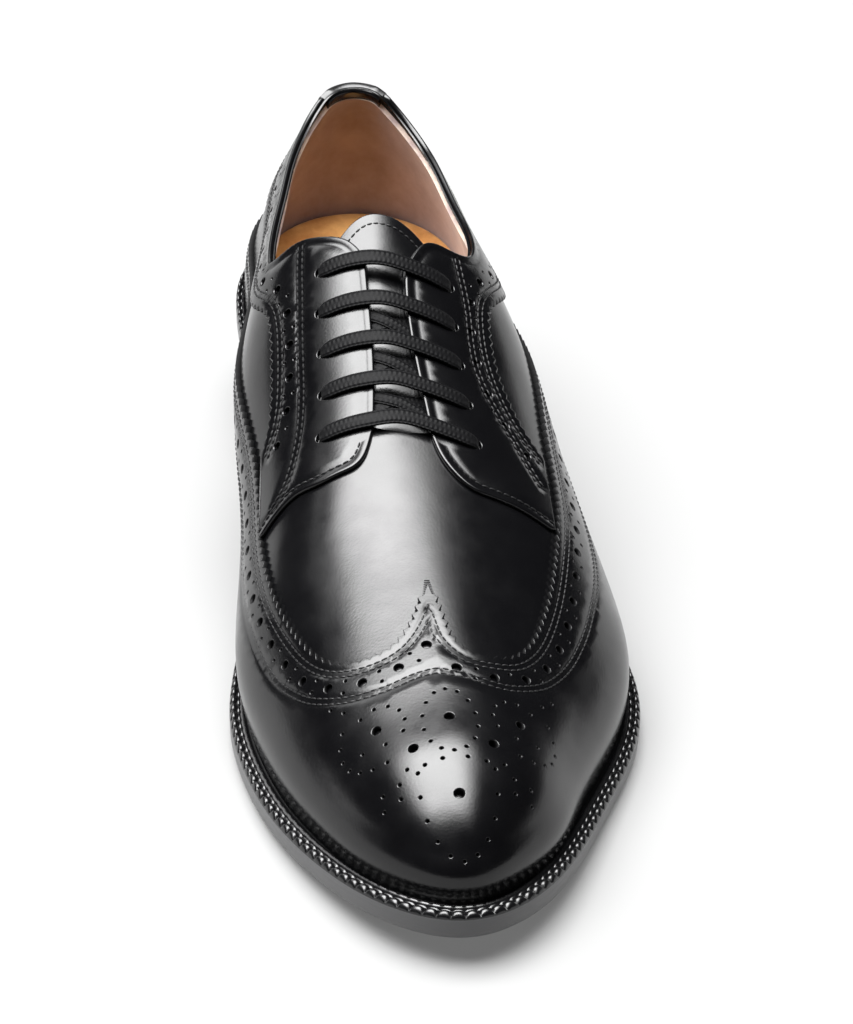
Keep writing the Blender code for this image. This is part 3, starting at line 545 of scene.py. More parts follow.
def gimped(flat, pitch, depth, toward):
    """A line cut in small saw teeth that point towards a flat point."""
    line = spaced(flat, pitch / 4)
    tooth = np.array([0, 0.5, 1, 0.5])[np.arange(len(line)) % 4] * depth
    return moved(line, across(line) * (side_sign(line, toward) * tooth)[:, None])


def round_holes(middles, radius, sides):
    """Flat loops of round holes."""
    by_x, by_y = stretch(np.asarray(middles))
    e1 = unit(by_x)
    e2 = unit(by_y - e1 * (by_y * e1).sum(1, keepdims=True))
    loops = [moved(middles, radius * (np.cos(turn) * e1 + np.sin(turn) * e2))
             for turn in np.arange(sides) * 2 * np.pi / sides]
    return list(np.stack(loops, 1))


def from_plan(spots):
    """Flat points over plan points x, s on top of the toe."""
    flat = np.array(spots, float)
    for _ in range(8):
        by_x, by_y = stretch(flat)
        gap = np.asarray(spots) - on_last(flat)[:, :2]
        flat = flat + np.linalg.solve(np.stack([by_x[:, :2], by_y[:, :2]], 2), gap[..., None])[..., 0]
    return flat


# Meshes

def add_piece(name, points, faces, finishes, face_finish=None, nodes=(), sharp=35.0):
    """Object from points in mm, turned outward, riding on the shoe, with its finishes."""
    mesh = bpy.data.meshes.new(name)
    mesh.from_pydata(to_world(points).tolist(), [], [tuple(int(i) for i in f) for f in faces])
    for finish in finishes:
        mesh.materials.append(finish)
    if face_finish is not None:
        mesh.polygons.foreach_set("material_index", np.asarray(face_finish, np.int32))
    bm = bmesh.new()
    bm.from_mesh(mesh)
    bmesh.ops.recalc_face_normals(bm, faces=bm.faces)
    bm.to_mesh(mesh)
    bm.free()
    mesh.shade_smooth()
    mesh.set_sharp_from_angle(angle=np.radians(sharp))
    obj = bpy.data.objects.new(name, mesh)
    bpy.context.scene.collection.objects.link(obj)
    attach(obj, "root")
    if nodes:
        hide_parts(*nodes)
    return obj


def set_shading(obj, normals):
    """Gives a piece's first points their true normals, so that rims do not dent the faces beside them."""
    mesh = obj.data
    corners = np.empty(3 * len(mesh.loops), np.float32)
    mesh.corner_normals.foreach_get("vector", corners)
    corners = corners.reshape(-1, 3)
    owner = np.empty(len(mesh.loops), np.int32)
    mesh.loops.foreach_get("vertex_index", owner)
    true = unit(to_world(normals) - to_world(np.zeros((1, 3))))
    first = owner < len(normals)
    corners[first] = true[owner[first]]
    mesh.normals_split_custom_set(corners.tolist())


def turns_left(loop):
    x, y = loop.T
    return (x * np.roll(y, -1) - y * np.roll(x, -1)).sum() > 0


def inside_loop(points, loop):
    """Even-odd test of many points against one closed loop."""
    x, y = points.T
    odd = np.zeros(len(points), bool)
    for (xa, ya), (xb, yb) in zip(loop, np.roll(loop, -1, 0)):
        if ya != yb:
            cross = (ya > y) != (yb > y)
            odd ^= cross & (x < (xb - xa) * (y - ya) / (yb - ya) + xa)
    return odd


def cut_panel(outline, holes, cell, rows=(), cuts=()):
    """Flat points and triangles of a panel.

    Rows are seams, which get points of their own; cuts are lines along which the triangles split.
    """
    loops = [loop if turns_left(loop) else loop[::-1] for loop in [outline, *holes]]
    points, rings = np.concatenate(loops), []
    for loop in loops:
        first = sum(len(ring) for ring in rings)
        rings.append(list(range(first, first + len(loop))))
    edges = []
    for cut in cuts:
        edges += [(i, i + 1) for i in range(len(points), len(points) + len(cut) - 1)]
        points = np.concatenate([points, cut])
    for hole in loops[1:]:
        spoke = hole - hole.mean(0)
        ring = hole + spoke * (HOLE_RING / np.linalg.norm(spoke, axis=1, keepdims=True))
        points = np.concatenate([points, ring[nearest(points)(ring) > HOLE_CLEAR]])
    seams = [moved(row, across(row) * shift) for row in rows for shift in SEAM_SHIFTS]
    if seams:
        seams = np.concatenate(seams)
        _, first = np.unique(np.floor(seams / SEAM_THIN), axis=0, return_index=True)
        seams = seams[np.sort(first)]
        points = np.concatenate([points, seams[nearest(points)(seams) > SEAM_CLEAR]])
    low, high = loops[0].min(0), loops[0].max(0)
    spots = np.array([(x, y) for row, y in enumerate(np.arange(low[1], high[1], cell * np.sqrt(3) / 2))
                      for x in np.arange(low[0] + row % 2 * cell / 2, high[0], cell)])
    spots = spots[inside_loop(spots, loops[0])]
    points = np.concatenate([points, spots[nearest(points)(spots) > NET_CLEAR * cell]])
    verts, _, tris, _, _, owners = geometry.delaunay_2d_cdt(
        [Vector(q) for q in points], edges, rings, 0, 1e-5)
    kept = np.array([t for t, owner in zip(tris, owners) if owner == [0]])
    used, kept = np.unique(kept, return_inverse=True)
    return np.array([tuple(verts[i]) for i in used]), kept.reshape(-1, 3)


def border_loops(tris):
    """Closed loops of the edges that have a triangle on one side only."""
    directed = {(a, b) for t in tris for a, b in zip(t, np.roll(t, -1))}
    after = {a: b for a, b in directed if (b, a) not in directed}
    loops = []
    while after:
        start, here = next(iter(after.items()))
        loop = [start]
        del after[start]
        while here != start:
            loop.append(here)
            here = after.pop(here)
        loops.append(np.array(loop))
    return loops


def seam_trough(points, rows, depth, width):
    """How far the leather is drawn in beside the rows of thread, and how much that leans its normals."""
    total, lean = np.zeros(len(points)), np.zeros((len(points), 3))
    for row in rows:
        away = from_nearest(on_last(spaced(row, 0.1)))(points)
        sag = depth * np.exp(-(away ** 2).sum(1) / width ** 2)
        total += sag
        lean += away * (2 * sag / width ** 2)[:, None]
    return total, lean


def panel_shape(flat, tris, low, high, edge, hole, trough=None, relief=None):
    """Closed sheet over flat triangles; edge and hole are profiles of out and down steps.

    Gives points, faces, each face's zone (0 top, 2 bottom, 10 and up the rim) and the top's normals.
    """
    chart = from_flat(flat)
    base, normal = last_point(*chart.T), last_normal(*chart.T)
    top = np.full(len(base), high, float)
    shading = normal
    if trough is not None:
        sag, lean = seam_trough(base, *trough)
        top, shading = top - sag, normal - lean
    if relief is not None:
        swell, lean = relief(chart, base)
        top, shading = top + swell, shading - lean
    count = len(base)
    low = np.broadcast_to(low(base) if callable(low) else low, count)
    points = [base + normal * top[:, None], base + normal * low[:, None]]
    faces = [tuple(t) for t in tris] + [tuple(t[::-1] + count) for t in tris]
    zone = [0] * len(tris) + [2] * len(tris)
    total = 2 * count
    for loop in border_loops(tris):
        profile = edge if turns_left(flat[loop]) else hole
        rim, up = points[0][loop], normal[loop]
        out = unit(np.cross(np.roll(rim, -1, 0) - np.roll(rim, 1, 0), up))
        if out[0] @ (rim[0] - base[tris[(tris == loop[0]).any(1)][0]].mean(0)) < 0:
            out = -out
        rings = [loop]
        for step_out, step_down in profile:
            points.append(rim + out * step_out - up * step_down)
            rings.append(np.arange(total, total + len(loop)))
            total += len(loop)
        rings.append(loop + count)
        for k, (a, b) in enumerate(zip(rings, rings[1:])):
            a2, b2 = np.roll(a, -1), np.roll(b, -1)
            faces += list(zip(a2, a, b, b2))
            zone += [10 + k] * len(a)
    return np.concatenate(points), faces, np.array(zone), shading


# Materials

def add_node(tree, kind, settings=None, inputs=None):
    """Adds a node, sets its properties and fills or links its inputs."""
    made = tree.nodes.new(kind)
    for name, value in (settings or {}).items():
        setattr(made, name, value)
    for name, value in (inputs or {}).items():
        socket = made.inputs[name]
        if isinstance(value, bpy.types.NodeSocket):
            tree.links.new(value, socket)
        else:
            socket.default_value = value
    return made


def new_finish(name, colour, roughness, **sockets):
    """Material with a plain shader; sockets are named with underscores for spaces."""
    finish = bpy.data.materials.new(name)
    finish.use_nodes = True
    tree = finish.node_tree
    shader = tree.nodes["Principled BSDF"]
    shader.inputs["Base Color"].default_value = (*colour, 1)
    shader.inputs["Roughness"].default_value = roughness
    for key, value in sockets.items():
        shader.inputs[key.replace("_", " ")].default_value = value
    place = add_node(tree, "ShaderNodeTexCoord").outputs["Object"]
    return finish, tree, shader, place


def per_metre(size_mm):
    """Texture scale for a pattern of that size."""
    return 1000.0 / size_mm


def add_maths(tree, operation, *values):
    """Result of one step of arithmetic on numbers and sockets."""
    return add_node(tree, "ShaderNodeMath", {"operation": operation}, dict(enumerate(values))).outputs[0]


def add_clouds(tree, place, size_mm, detail, roughness=0.5):
    """Cloudy noise whose spots are about that size."""
    clouds = add_node(tree, "ShaderNodeTexNoise", None, {
        "Vector": place, "Scale": per_metre(size_mm), "Detail": detail, "Roughness": roughness})
    return clouds.outputs["Fac"]


def add_ramp(tree, value, start, full, low, high, kind="LINEAR"):
    """Value moved from one range to another."""
    ramp = add_node(tree, "ShaderNodeMapRange", {"interpolation_type": kind}, {
        "Value": value, "From Min": start, "From Max": full, "To Min": low, "To Max": high})
    return ramp.outputs["Result"]


def add_bump(tree, height, strength, depth_mm, **under):
    """Normals of a low relief; under can hold the Normal that it lies on."""
    bump = add_node(tree, "ShaderNodeBump", None, {
        "Strength": strength, "Distance": depth_mm * MM, "Height": height, **under})
    return bump.outputs["Normal"]


def polished_calf(name, colour, roughness, grain):
    """Polished box calf: near-black, a soft wax gloss over a fine hair-cell grain."""
    finish, tree, shader, place = new_finish(
        name, colour, roughness, Coat_Weight=0.08, Coat_Roughness=0.12, IOR=1.5, Specular_IOR_Level=0.36)
    cells = add_node(tree, "ShaderNodeTexVoronoi", None, {"Vector": place, "Scale": per_metre(0.75)})
    pores = add_clouds(tree, place, 0.5, 3.0, 0.6)
    hair_cells = add_maths(tree, "MULTIPLY_ADD", cells.outputs["Distance"], 0.6, pores)
    wide = add_bump(tree, add_clouds(tree, place, 16.0, 2.0), 0.25, 0.4)
    fine = add_bump(tree, hair_cells, grain, 0.06, Normal=wide)
    tree.links.new(fine, shader.inputs["Normal"])
    gloss = add_ramp(tree, add_clouds(tree, place, 9.0, 4.0), 0.3, 0.7, roughness - 0.04, roughness + 0.05)
    tree.links.new(gloss, shader.inputs["Roughness"])
    return finish


def edge_ink(name, colour, roughness, line):
    """Inked and burnished leather edge: dark satin with fine lines left by the hot iron."""
    finish, tree, shader, place = new_finish(name, colour, roughness, IOR=1.5)
    level = add_node(tree, "ShaderNodeMapping", None, {"Vector": place, "Scale": (0.06, 0.06, 1.0)})
    lines = add_clouds(tree, level.outputs["Vector"], line, 3.0)
    tree.links.new(add_bump(tree, lines, 0.35, 0.1), shader.inputs["Normal"])
    gloss = add_ramp(tree, lines, 0.0, 1.0, roughness - 0.08, roughness + 0.10)
    tree.links.new(gloss, shader.inputs["Roughness"])
    return finish


def soft_leather(name, colour, dark, roughness, blotch, nap):
    """Unpolished leather or suede: matt, mottled in two tones, with a short nap."""
    finish, tree, shader, place = new_finish(name, colour, roughness, IOR=1.45, Sheen_Weight=0.15)
    tone = add_ramp(tree, add_clouds(tree, place, blotch, 5.0, 0.65), 0.35, 0.65, 0.0, 1.0)
    # Inputs 6 and 7 of the mix are its two colours, output 2 is their mixture
    mix = add_node(tree, "ShaderNodeMix", {"data_type": "RGBA"}, {
        "Factor": tone, 6: (*dark, 1), 7: (*colour, 1)})
    tree.links.new(mix.outputs[2], shader.inputs["Base Color"])
    tree.links.new(add_bump(tree, add_clouds(tree, place, 0.4, 2.0), nap, 0.1), shader.inputs["Normal"])
    return finish


def waxed_lace(name, colour):
    """Flat woven cotton lace, waxed: dull black with rows of short stitches along it."""
    finish, tree, shader, _ = new_finish(name, colour, 0.5, Specular_IOR_Level=0.07)
    weave = add_node(tree, "ShaderNodeUVMap", {"uv_map": "weave"})
    split = add_node(tree, "ShaderNodeSeparateXYZ", None, {"Vector": weave.outputs["UV"]})
    rows = add_maths(tree, "MULTIPLY", split.outputs["Y"], 2.0)
    ridge = add_maths(tree, "PINGPONG", rows, 0.5)
    start = add_maths(tree, "MULTIPLY", add_maths(tree, "FLOOR", rows), 0.6)
    place = add_maths(tree, "MULTIPLY_ADD", split.outputs["X"], 1 / 1.3, start)
    lift = add_maths(tree, "ADD", add_maths(tree, "PINGPONG", place, 0.5), 0.3)
    wave = add_maths(tree, "MULTIPLY", ridge, lift)
    tree.links.new(add_bump(tree, wave, 1.0, 0.6), shader.inputs["Normal"])
    return finish


FINISH = {}


def make_finishes(colours):
    """Fills FINISH with the materials of the shoe and the floor."""
    FINISH["calf"] = polished_calf("polished_box_calf", colours.calf, 0.21, 0.25)
    FINISH["thread"] = new_finish("waxed_linen_thread", colours.thread, 0.5, Specular_IOR_Level=0.3)[0]
    FINISH["cut"] = new_finish("cut_calf_edge", colours.calf, 0.7, Specular_IOR_Level=0.2)[0]
    FINISH["edge"] = edge_ink("inked_sole_edge", colours.edge, 0.34, 0.35)
    FINISH["welt"] = edge_ink("wheeled_welt_leather", colours.welt, 0.24, 0.8)
    FINISH["bottom"] = soft_leather("stained_sole_leather", colours.edge, colours.welt, 0.5, 12.0, 0.2)
    FINISH["rubber"] = soft_leather("heel_rubber", colours.thread, colours.welt, 0.75, 4.0, 0.4)
    FINISH["sock"] = soft_leather("vegetable_tan_sock", colours.sock, colours.sock_dark, 0.5, 18.0, 0.15)
    FINISH["lining"] = soft_leather("suede_heel_lining", colours.lining, colours.lining_dark, 0.85, 14.0, 0.5)
    FINISH["raw"] = soft_leather("raw_leather_edge", colours.raw, colours.lining, 0.8, 9.0, 0.5)
    FINISH["lace"] = waxed_lace("waxed_cotton_lace", colours.lace)
    FINISH["floor"] = new_finish("pale_studio_floor", colours.floor, 0.75, Emission_Color=(1, 1, 1, 1),
                                 Emission_Strength=0.15)[0]


# Settings

def colour_property(name, code, what):
    return FloatVectorProperty(name=name, description=what, default=linear(code), size=3, subtype="COLOR",
                               min=0, max=1)


class DerbyColours(bpy.types.PropertyGroup):
    """Colours of the shoe and the floor."""
    calf: colour_property("Calf", "#050506", "Polished upper leather")
    thread: colour_property("Thread", "#0a0a0b", "Stitching")
    edge: colour_property("Sole edge", "#464647", "Inked edge of the sole")
    welt: colour_property("Welt", "#080809", "Top of the welt")
    sock: colour_property("Sock", "#dda765", "Insole sock")
    sock_dark: colour_property("Sock, dark", "#a56a30", "Darker clouds in the sock")
    lining: colour_property("Lining", "#a18f8e", "Suede heel lining")
    lining_dark: colour_property("Lining, dark", "#8d7a78", "Darker clouds in the lining")
    raw: colour_property("Raw edge", "#dccbb9", "Cut edge of the lining at the collar")
    lace: colour_property("Lace", "#080809", "Waxed lace")
    floor: colour_property("Floor", "#6f6f6f", "Studio floor")


def length_property(name, size_mm, what):
    return FloatProperty(name=name, description=what, default=size_mm, min=0.0, soft_max=10 * size_mm)


class DerbySizes(bpy.types.PropertyGroup):
    """Sizes of the decoration, in millimetres."""
    cell: length_property("Net", 1.8, "Distance between the points of a panel")
    gimp_pitch: length_property("Gimp pitch", 2.9, "Distance between the saw teeth of a cut edge")
    gimp_depth: length_property("Gimp depth", 1.2, "Depth of the saw teeth of a cut edge")
    large_hole: length_property("Large hole", 1.55, "Radius of a large punched hole")
    small_hole: length_property("Small hole", 0.72, "Radius of a small punched hole")
    hole_pitch: length_property("Hole pitch", 10.2, "Distance between large holes of a band")
    stitch: length_property("Stitch", 2.1, "Length of one stitch with its gap")
    thread: length_property("Thread", 0.52, "Breadth of the thread")
    tooth: length_property("Welt tooth", 3.65, "Distance between the wheeled teeth of the welt")
    lace: length_property("Lace", 4.7, "Breadth of the flat lace")


class DerbyStage(bpy.types.PropertyGroup):
    """Camera and light."""
    lens: FloatProperty(name="Lens", description="Focal length", default=250.0, min=1, unit="CAMERA")
    key: FloatProperty(name="Overhead", description="Glow of the overhead softbox", default=23.0, min=0)
    horizon: FloatProperty(name="Horizon", description="Glow of the pale room at floor level",
                           default=0.4, min=0)
    horizon_low: FloatProperty(name="Horizon, full", description="Upward part of a look up to the pale room",
                               default=-0.02, min=-1, max=1)
    horizon_high: FloatProperty(name="Horizon, end", description="Upward part at which the room is dark",
                                default=0.05, min=0, max=1)


# Seams and holes

def middle_of(way, rise):
    return to_flat([(way, rise)])[0]


def wing_lines():
    """Edge, seam rows and hole line of each half of the wing."""
    lines = {s: {"edge": pattern_line(WING_EDGE[s], s, 0.7, start=WING_PEAK)} for s in SIDES}
    for s, other in (SIDES, SIDES[::-1]):
        edge = lines[s]["edge"]
        for name, distance in {**SEAM_ROWS, "holes": WING_BAND}.items():
            line = beside(edge, distance, False)
            lines[s][name] = clear_of(line, lines[other]["edge"], distance)
        lines[s]["seam_1"] = pattern_line(WING_SEAM[s], s)
        lines[s]["seam_2"] = beside(lines[s]["seam_1"], SEAM_PAIR, False)
    return lines


def facing_lines(s):
    """Edges, seam rows and hole line of one facing."""
    eyelet = middle_of(side_u(s, 0.5), 0.76)
    lines = {"back": pattern_line(FACING_BACK[s], s, 0.7), "front": pattern_line(FACING_FRONT[s], s, 0.7),
             "top": pattern_line(FACING_TOP[s], s, 0.8), "throat": pattern_line(THROAT[s], s, 0.8),
             "seam_1": pattern_line(FACING_SEAM[s], s)}
    collar = pattern_line(COLLAR[s], s, 0.8)
    around = from_flat(collar)[:, 0]
    lines["collar"] = collar[np.minimum(around, 2 - around) > FACING_END]
    for name, distance in {**SEAM_ROWS, "holes": FACING_BAND}.items():
        lines[name] = beside(lines["back"], distance, True)
    lines["seam_2"] = beside(lines["seam_1"], SEAM_PAIR, eyelet)
    lines["front_row"] = beside(lines["front"][8:], FRONT_ROW, eyelet)
    topline = np.concatenate([lines["collar"], lines["top"][1:], lines["throat"][1:-3]])
    lines["bead"] = beside(topline, BEAD_ROW, False)
    return lines


def band_holes(line, sizes, first=0.0):
    """Large holes along a line with a pair of small ones between each two, as flat loops."""
    run = run_of(on_last(line))
    at = np.arange(first, run[-1] - 2.0, sizes.hole_pitch / 2)
    spots = np.stack([np.interp(at, run, line[:, k]) for k in (0, 1)], 1)
    side = across(line)[np.minimum(np.searchsorted(run, at), len(line) - 1)]
    small = np.concatenate([moved(spots[1::2], side[1::2] * shift) for shift in (-SMALL_ASIDE, SMALL_ASIDE)])
    return punched(spots[::2], small, sizes)


def punched(large, small, sizes):
    """Flat loops of large and small holes."""
    return round_holes(large, sizes.large_hole, 14) + round_holes(small, sizes.small_hole, 10)


def medallion_holes(sizes):
    """Flat loops of the toe's pattern, mirrored about its middle."""
    small = []
    for x, s, wide, deep, start, stop, count in zip(*MEDALLION.values()):
        turn = np.radians(np.linspace(start, stop, int(count)))
        small += list(zip(x + wide * np.cos(turn), s + deep * np.sin(turn)))
    large = list(zip(MEDALLION_LARGE["x"], MEDALLION_LARGE["s"]))
    small, large = ([*spots, *((-x, s) for x, s in spots if x > 1)] for spots in (small, large))
    return punched(from_plan(large), from_plan(small), sizes)


def fullness(chart, base):
    """How far the lasted wing stands off over toe and side, and how much that leans its normals."""
    u, v = chart.T
    slope = last_slopes(u, v)[1]
    slope = slope / (slope ** 2).sum(1, keepdims=True)
    way = np.minimum(u % 2, 2 - u % 2)
    toe, fore = smooth_step(*SWELL_TOE, way), smooth_step(*SWELL_BEGINS, way)
    top = SIDE_SWELL["top"] + (SIDE_SWELL["toe_top"] - SIDE_SWELL["top"]) * toe
    height = fore * (SIDE_SWELL["height"] + (SIDE_SWELL["toe_height"] - SIDE_SWELL["height"]) * toe)
    share = np.pi * np.clip(v / top, 0, 1)
    swell = height * np.sin(share) ** 2
    lean = slope * (height * np.pi / top * np.sin(2 * share))[:, None]
    spread = (TOE_SWELL["wide"], TOE_SWELL["long"], 1)
    away = (base - (TOE_SWELL["x"], TOE_SWELL["s"], 0)) / spread
    away[:, 2] = 0
    dome = TOE_SWELL["height"] * np.exp(-(away ** 2).sum(1))
    lean -= away / spread * (2 * dome)[:, None]
    return swell + dome, lean


def wing_holes(lines, sizes):
    return (medallion_holes(sizes) + band_holes(lines["lateral"]["holes"], sizes, sizes.hole_pitch)
            + band_holes(lines["medial"]["holes"], sizes))


def stitch_shape(points, normals, sizes):
    """Joined thread stitches along one row of evenly spaced points."""
    sides = 6
    turn = np.arange(sides) * 2 * np.pi / sides
    along = np.diff(points, axis=0)
    middle = (points[1:] + points[:-1]) / 2
    size = np.linalg.norm(along, axis=1, keepdims=True)
    along = along / size
    up = (normals[1:] + normals[:-1]) / 2
    side = unit(np.cross(along, up))
    up = np.cross(side, along)
    verts = []
    for share, fat in STITCH_RINGS:
        for t in turn:
            wide, high = sizes.thread / 2 * np.cos(t) * fat, sizes.thread * STITCH_HIGH * np.sin(t) * fat
            bow = sizes.thread * (STITCH_ARCH - STITCH_DIVE * share * share)
            verts.append(middle + along * size * share * STITCH_FILL + side * wide + up * (high + bow))
    verts = np.stack(verts, 1)
    per = verts.shape[1]
    block = []
    for k in range(len(STITCH_RINGS) - 1):
        for i in range(sides):
            j = (i + 1) % sides
            block.append((k * sides + i, k * sides + j, (k + 1) * sides + j, (k + 1) * sides + i))
    block.append(tuple(range(sides))[::-1])
    block.append(tuple((len(STITCH_RINGS) - 1) * sides + i for i in range(sides)))
    faces = [tuple(i + n * per for i in f) for n in range(len(verts)) for f in block]
    return verts.reshape(-1, 3), faces


def joined(shapes):
    """Points and faces of many shapes as one."""
    points, faces, total = [], [], 0
    for shape_points, shape_faces in shapes:
        points.append(shape_points)
        faces += [tuple(i + total for i in face) for face in shape_faces]
        total += len(shape_points)
    return np.concatenate(points), faces


def add_stitches(name, rows, height, sizes, length=None):
    """One object with the stitches of many rows."""
    lines = [spaced(row, length or sizes.stitch) for row in rows]
    points, faces = joined(stitch_shape(on_last(line, height), flat_normals(line), sizes) for line in lines)
    add_piece(name, points, faces, [FINISH["thread"]])


# Pieces

def feather_loop():
    """Lower edge of the upper, all round."""
    u = np.linspace(0, 2, 420, endpoint=False)
    return to_flat(np.stack([u, np.full_like(u, TUCK)], 1))


def stay_edge(side, half, top):
    """Edge of the backstay, up from the feather line: where the back strip is half wide."""
    rises = np.linspace(TUCK, top, 60)
    way = np.linspace(0, 0.2, 161)
    ways = []
    for v in rises:
        wide = np.abs(last_point(side_u(side, way), np.full_like(way, v))[:, 0])
        ways.append(side_u(side, np.interp(half, wide, way)))
    return spaced(to_flat(np.stack([np.array(ways), rises], 1)), 1.2)


def topline_half(s, step):
    """Collar and top of the facing of one side, from the heel back."""
    return np.concatenate([pattern_line(COLLAR[s], s, step), pattern_line(FACING_TOP[s], s, step)[1:]])


def opening_loop():
    """Edge of the opening for the foot: collar, facings' tops and throat."""
    half = {s: np.concatenate([topline_half(s, 0.9), pattern_line(THROAT[s], s, 0.9)[1:]]) for s in SIDES}
    return np.concatenate([half["lateral"], to_flat([(THROAT_END, 1.0)]), half["medial"][:0:-1]])


def eyelet_spots(k):
    """Flat points of the medial and the lateral eyelet of one bar."""
    return to_flat([(2 - EYELETS["way_med"][k], EYELETS["rise_med"][k]),
                    (EYELETS["way_lat"][k], EYELETS["rise_lat"][k])])


def eyelet_holes(side, radius):
    """Flat loops of one side's five eyelets."""
    ways, rises = EYELETS["way_" + side[:3]], EYELETS["rise_" + side[:3]]
    return round_holes(to_flat(np.stack([side_u(side, ways), rises], 1)), radius, 16)


class DERBY_OT_upper(bpy.types.Operator):
    """Lasted upper with its lining and the raw edge of the lining at the collar."""
    bl_idname = "derby.upper"
    bl_label = "Upper"

    def execute(self, context):
        sizes = context.scene.derby_sizes
        eyelets = [hole for s in SIDES for hole in eyelet_holes(s, EYELET_UPPER)]
        topline = np.concatenate([topline_half("medial", 0.6)[:0:-1], topline_half("lateral", 0.6)])
        lip = [beside(topline, distance, False, 0.6) for distance in (LIP, LIP + RAW)]
        flat, tris = cut_panel(feather_loop(), [opening_loop(), *eyelets], sizes.cell, cuts=lip)
        to_edge = nearest(on_last(spaced(topline, 0.4)))

        def inside(base):
            depth = to_edge(base)
            thick = LIP_WALL + (WALL + RAW_OUT - LIP_WALL) * smooth_step(LIP, LIP + RAW, depth)
            return RAW_OUT * smooth_step(LIP + RAW, LIP + RAW + RAW_FADE, depth) - thick
        points, faces, zone, shading = panel_shape(flat, tris, inside, 0, FEATHER_RIM, UPPER_RIM)
        far = to_edge(last_point(*from_flat(flat[tris].mean(1)).T))
        finish = np.zeros(len(faces), int)
        finish[zone == 2] = np.where(far < LIP, 3, np.where(far < LIP + RAW, 2, 1))
        set_shading(add_piece(
            "upper_vamp_and_quarters", points, faces,
            [FINISH["calf"], FINISH["lining"], FINISH["raw"], FINISH["cut"]], finish,
            nodes=["upper"]), shading)
        return {"FINISHED"}


class DERBY_OT_wing_tip(bpy.types.Operator):
    """Long wing with gimped edge, punched band and toe medallion."""
    bl_idname = "derby.wing_tip"
    bl_label = "Wing tip"

    def execute(self, context):
        sizes = context.scene.derby_sizes
        lines = wing_lines()
        butt = {s: stay_edge(s, BACKSTAY_HALF + 0.6, 0.185) for s in SIDES}
        edges = {s: gimped(lines[s]["edge"][5:], sizes.gimp_pitch, sizes.gimp_depth, True) for s in SIDES}
        ends = [from_flat(butt[s][:1])[0, 0] for s in SIDES]
        around = np.linspace(*ends, 400)
        feather = to_flat(np.stack([around, np.full_like(around, TUCK)], 1))
        outline = np.concatenate([
            lines["lateral"]["edge"][:1], edges["lateral"], butt["lateral"][::-1], feather[1:-1],
            butt["medial"], edges["medial"][::-1]])
        holes = wing_holes(lines, sizes)
        rows = [lines[s][k] for s in SIDES for k in ("row_1", "row_2", "seam_1", "seam_2")]
        flat, tris = cut_panel(outline, holes, sizes.cell, rows)
        points, faces, zone, shading = panel_shape(
            flat, tris, 0.0, OVERLAY, WING_RIM, HOLE_RIM, (rows, *TROUGH), fullness)
        set_shading(add_piece("wing_tip_panel", points, faces, [FINISH["calf"], FINISH["cut"]], zone > 10,
                              nodes=["wing_tip"], sharp=50), shading)
        add_stitches("wing_tip_stitches", rows, OVERLAY - THREAD_SUNK, sizes)
        peak = middle_of(WING_PEAK, 1.0)
        bars = []
        for up in np.arange(BARTACK["start"], BARTACK["stop"], BARTACK["pitch"]):
            half = BARTACK["half"] - up / BARTACK["taper"]
            bars.append(peak + np.array([(-half, -up), (half, -up)]))
        add_stitches("peak_bartack", bars, BARTACK["height"], sizes, BARTACK["stitch"])
        return {"FINISHED"}


class DERBY_OT_facings(bpy.types.Operator):
    """Open facings with the collar band, punched and gimped along the back edge."""
    bl_idname = "derby.facings"
    bl_label = "Facings"

    def execute(self, context):
        sizes = context.scene.derby_sizes
        for s in SIDES:
            lines = facing_lines(s)
            back = gimped(lines["back"], sizes.gimp_pitch, sizes.gimp_depth, False)
            outline = np.concatenate([
                lines["collar"], lines["top"][1:], lines["throat"][1:], lines["front"][1:], back])
            holes = band_holes(lines["holes"], sizes, 4.0) + eyelet_holes(s, EYELET_FACING)
            rows = [lines[k] for k in ("row_1", "row_2", "seam_1", "seam_2", "front_row")]
            grooves = rows + [lines["bead"]]
            flat, tris = cut_panel(outline, holes, sizes.cell, grooves)
            points, faces, zone, shading = panel_shape(
                flat, tris, 0.0, OVERLAY, FACING_RIM, HOLE_RIM, (grooves, *FACING_TROUGH))
            set_shading(add_piece("facing_" + s + "_panel", points, faces, [FINISH["calf"], FINISH["cut"]],
                                  zone > 13, nodes=["facing_" + s], sharp=50), shading)
            add_stitches("facing_" + s + "_stitches", rows, OVERLAY - THREAD_SUNK, sizes)
        return {"FINISHED"}


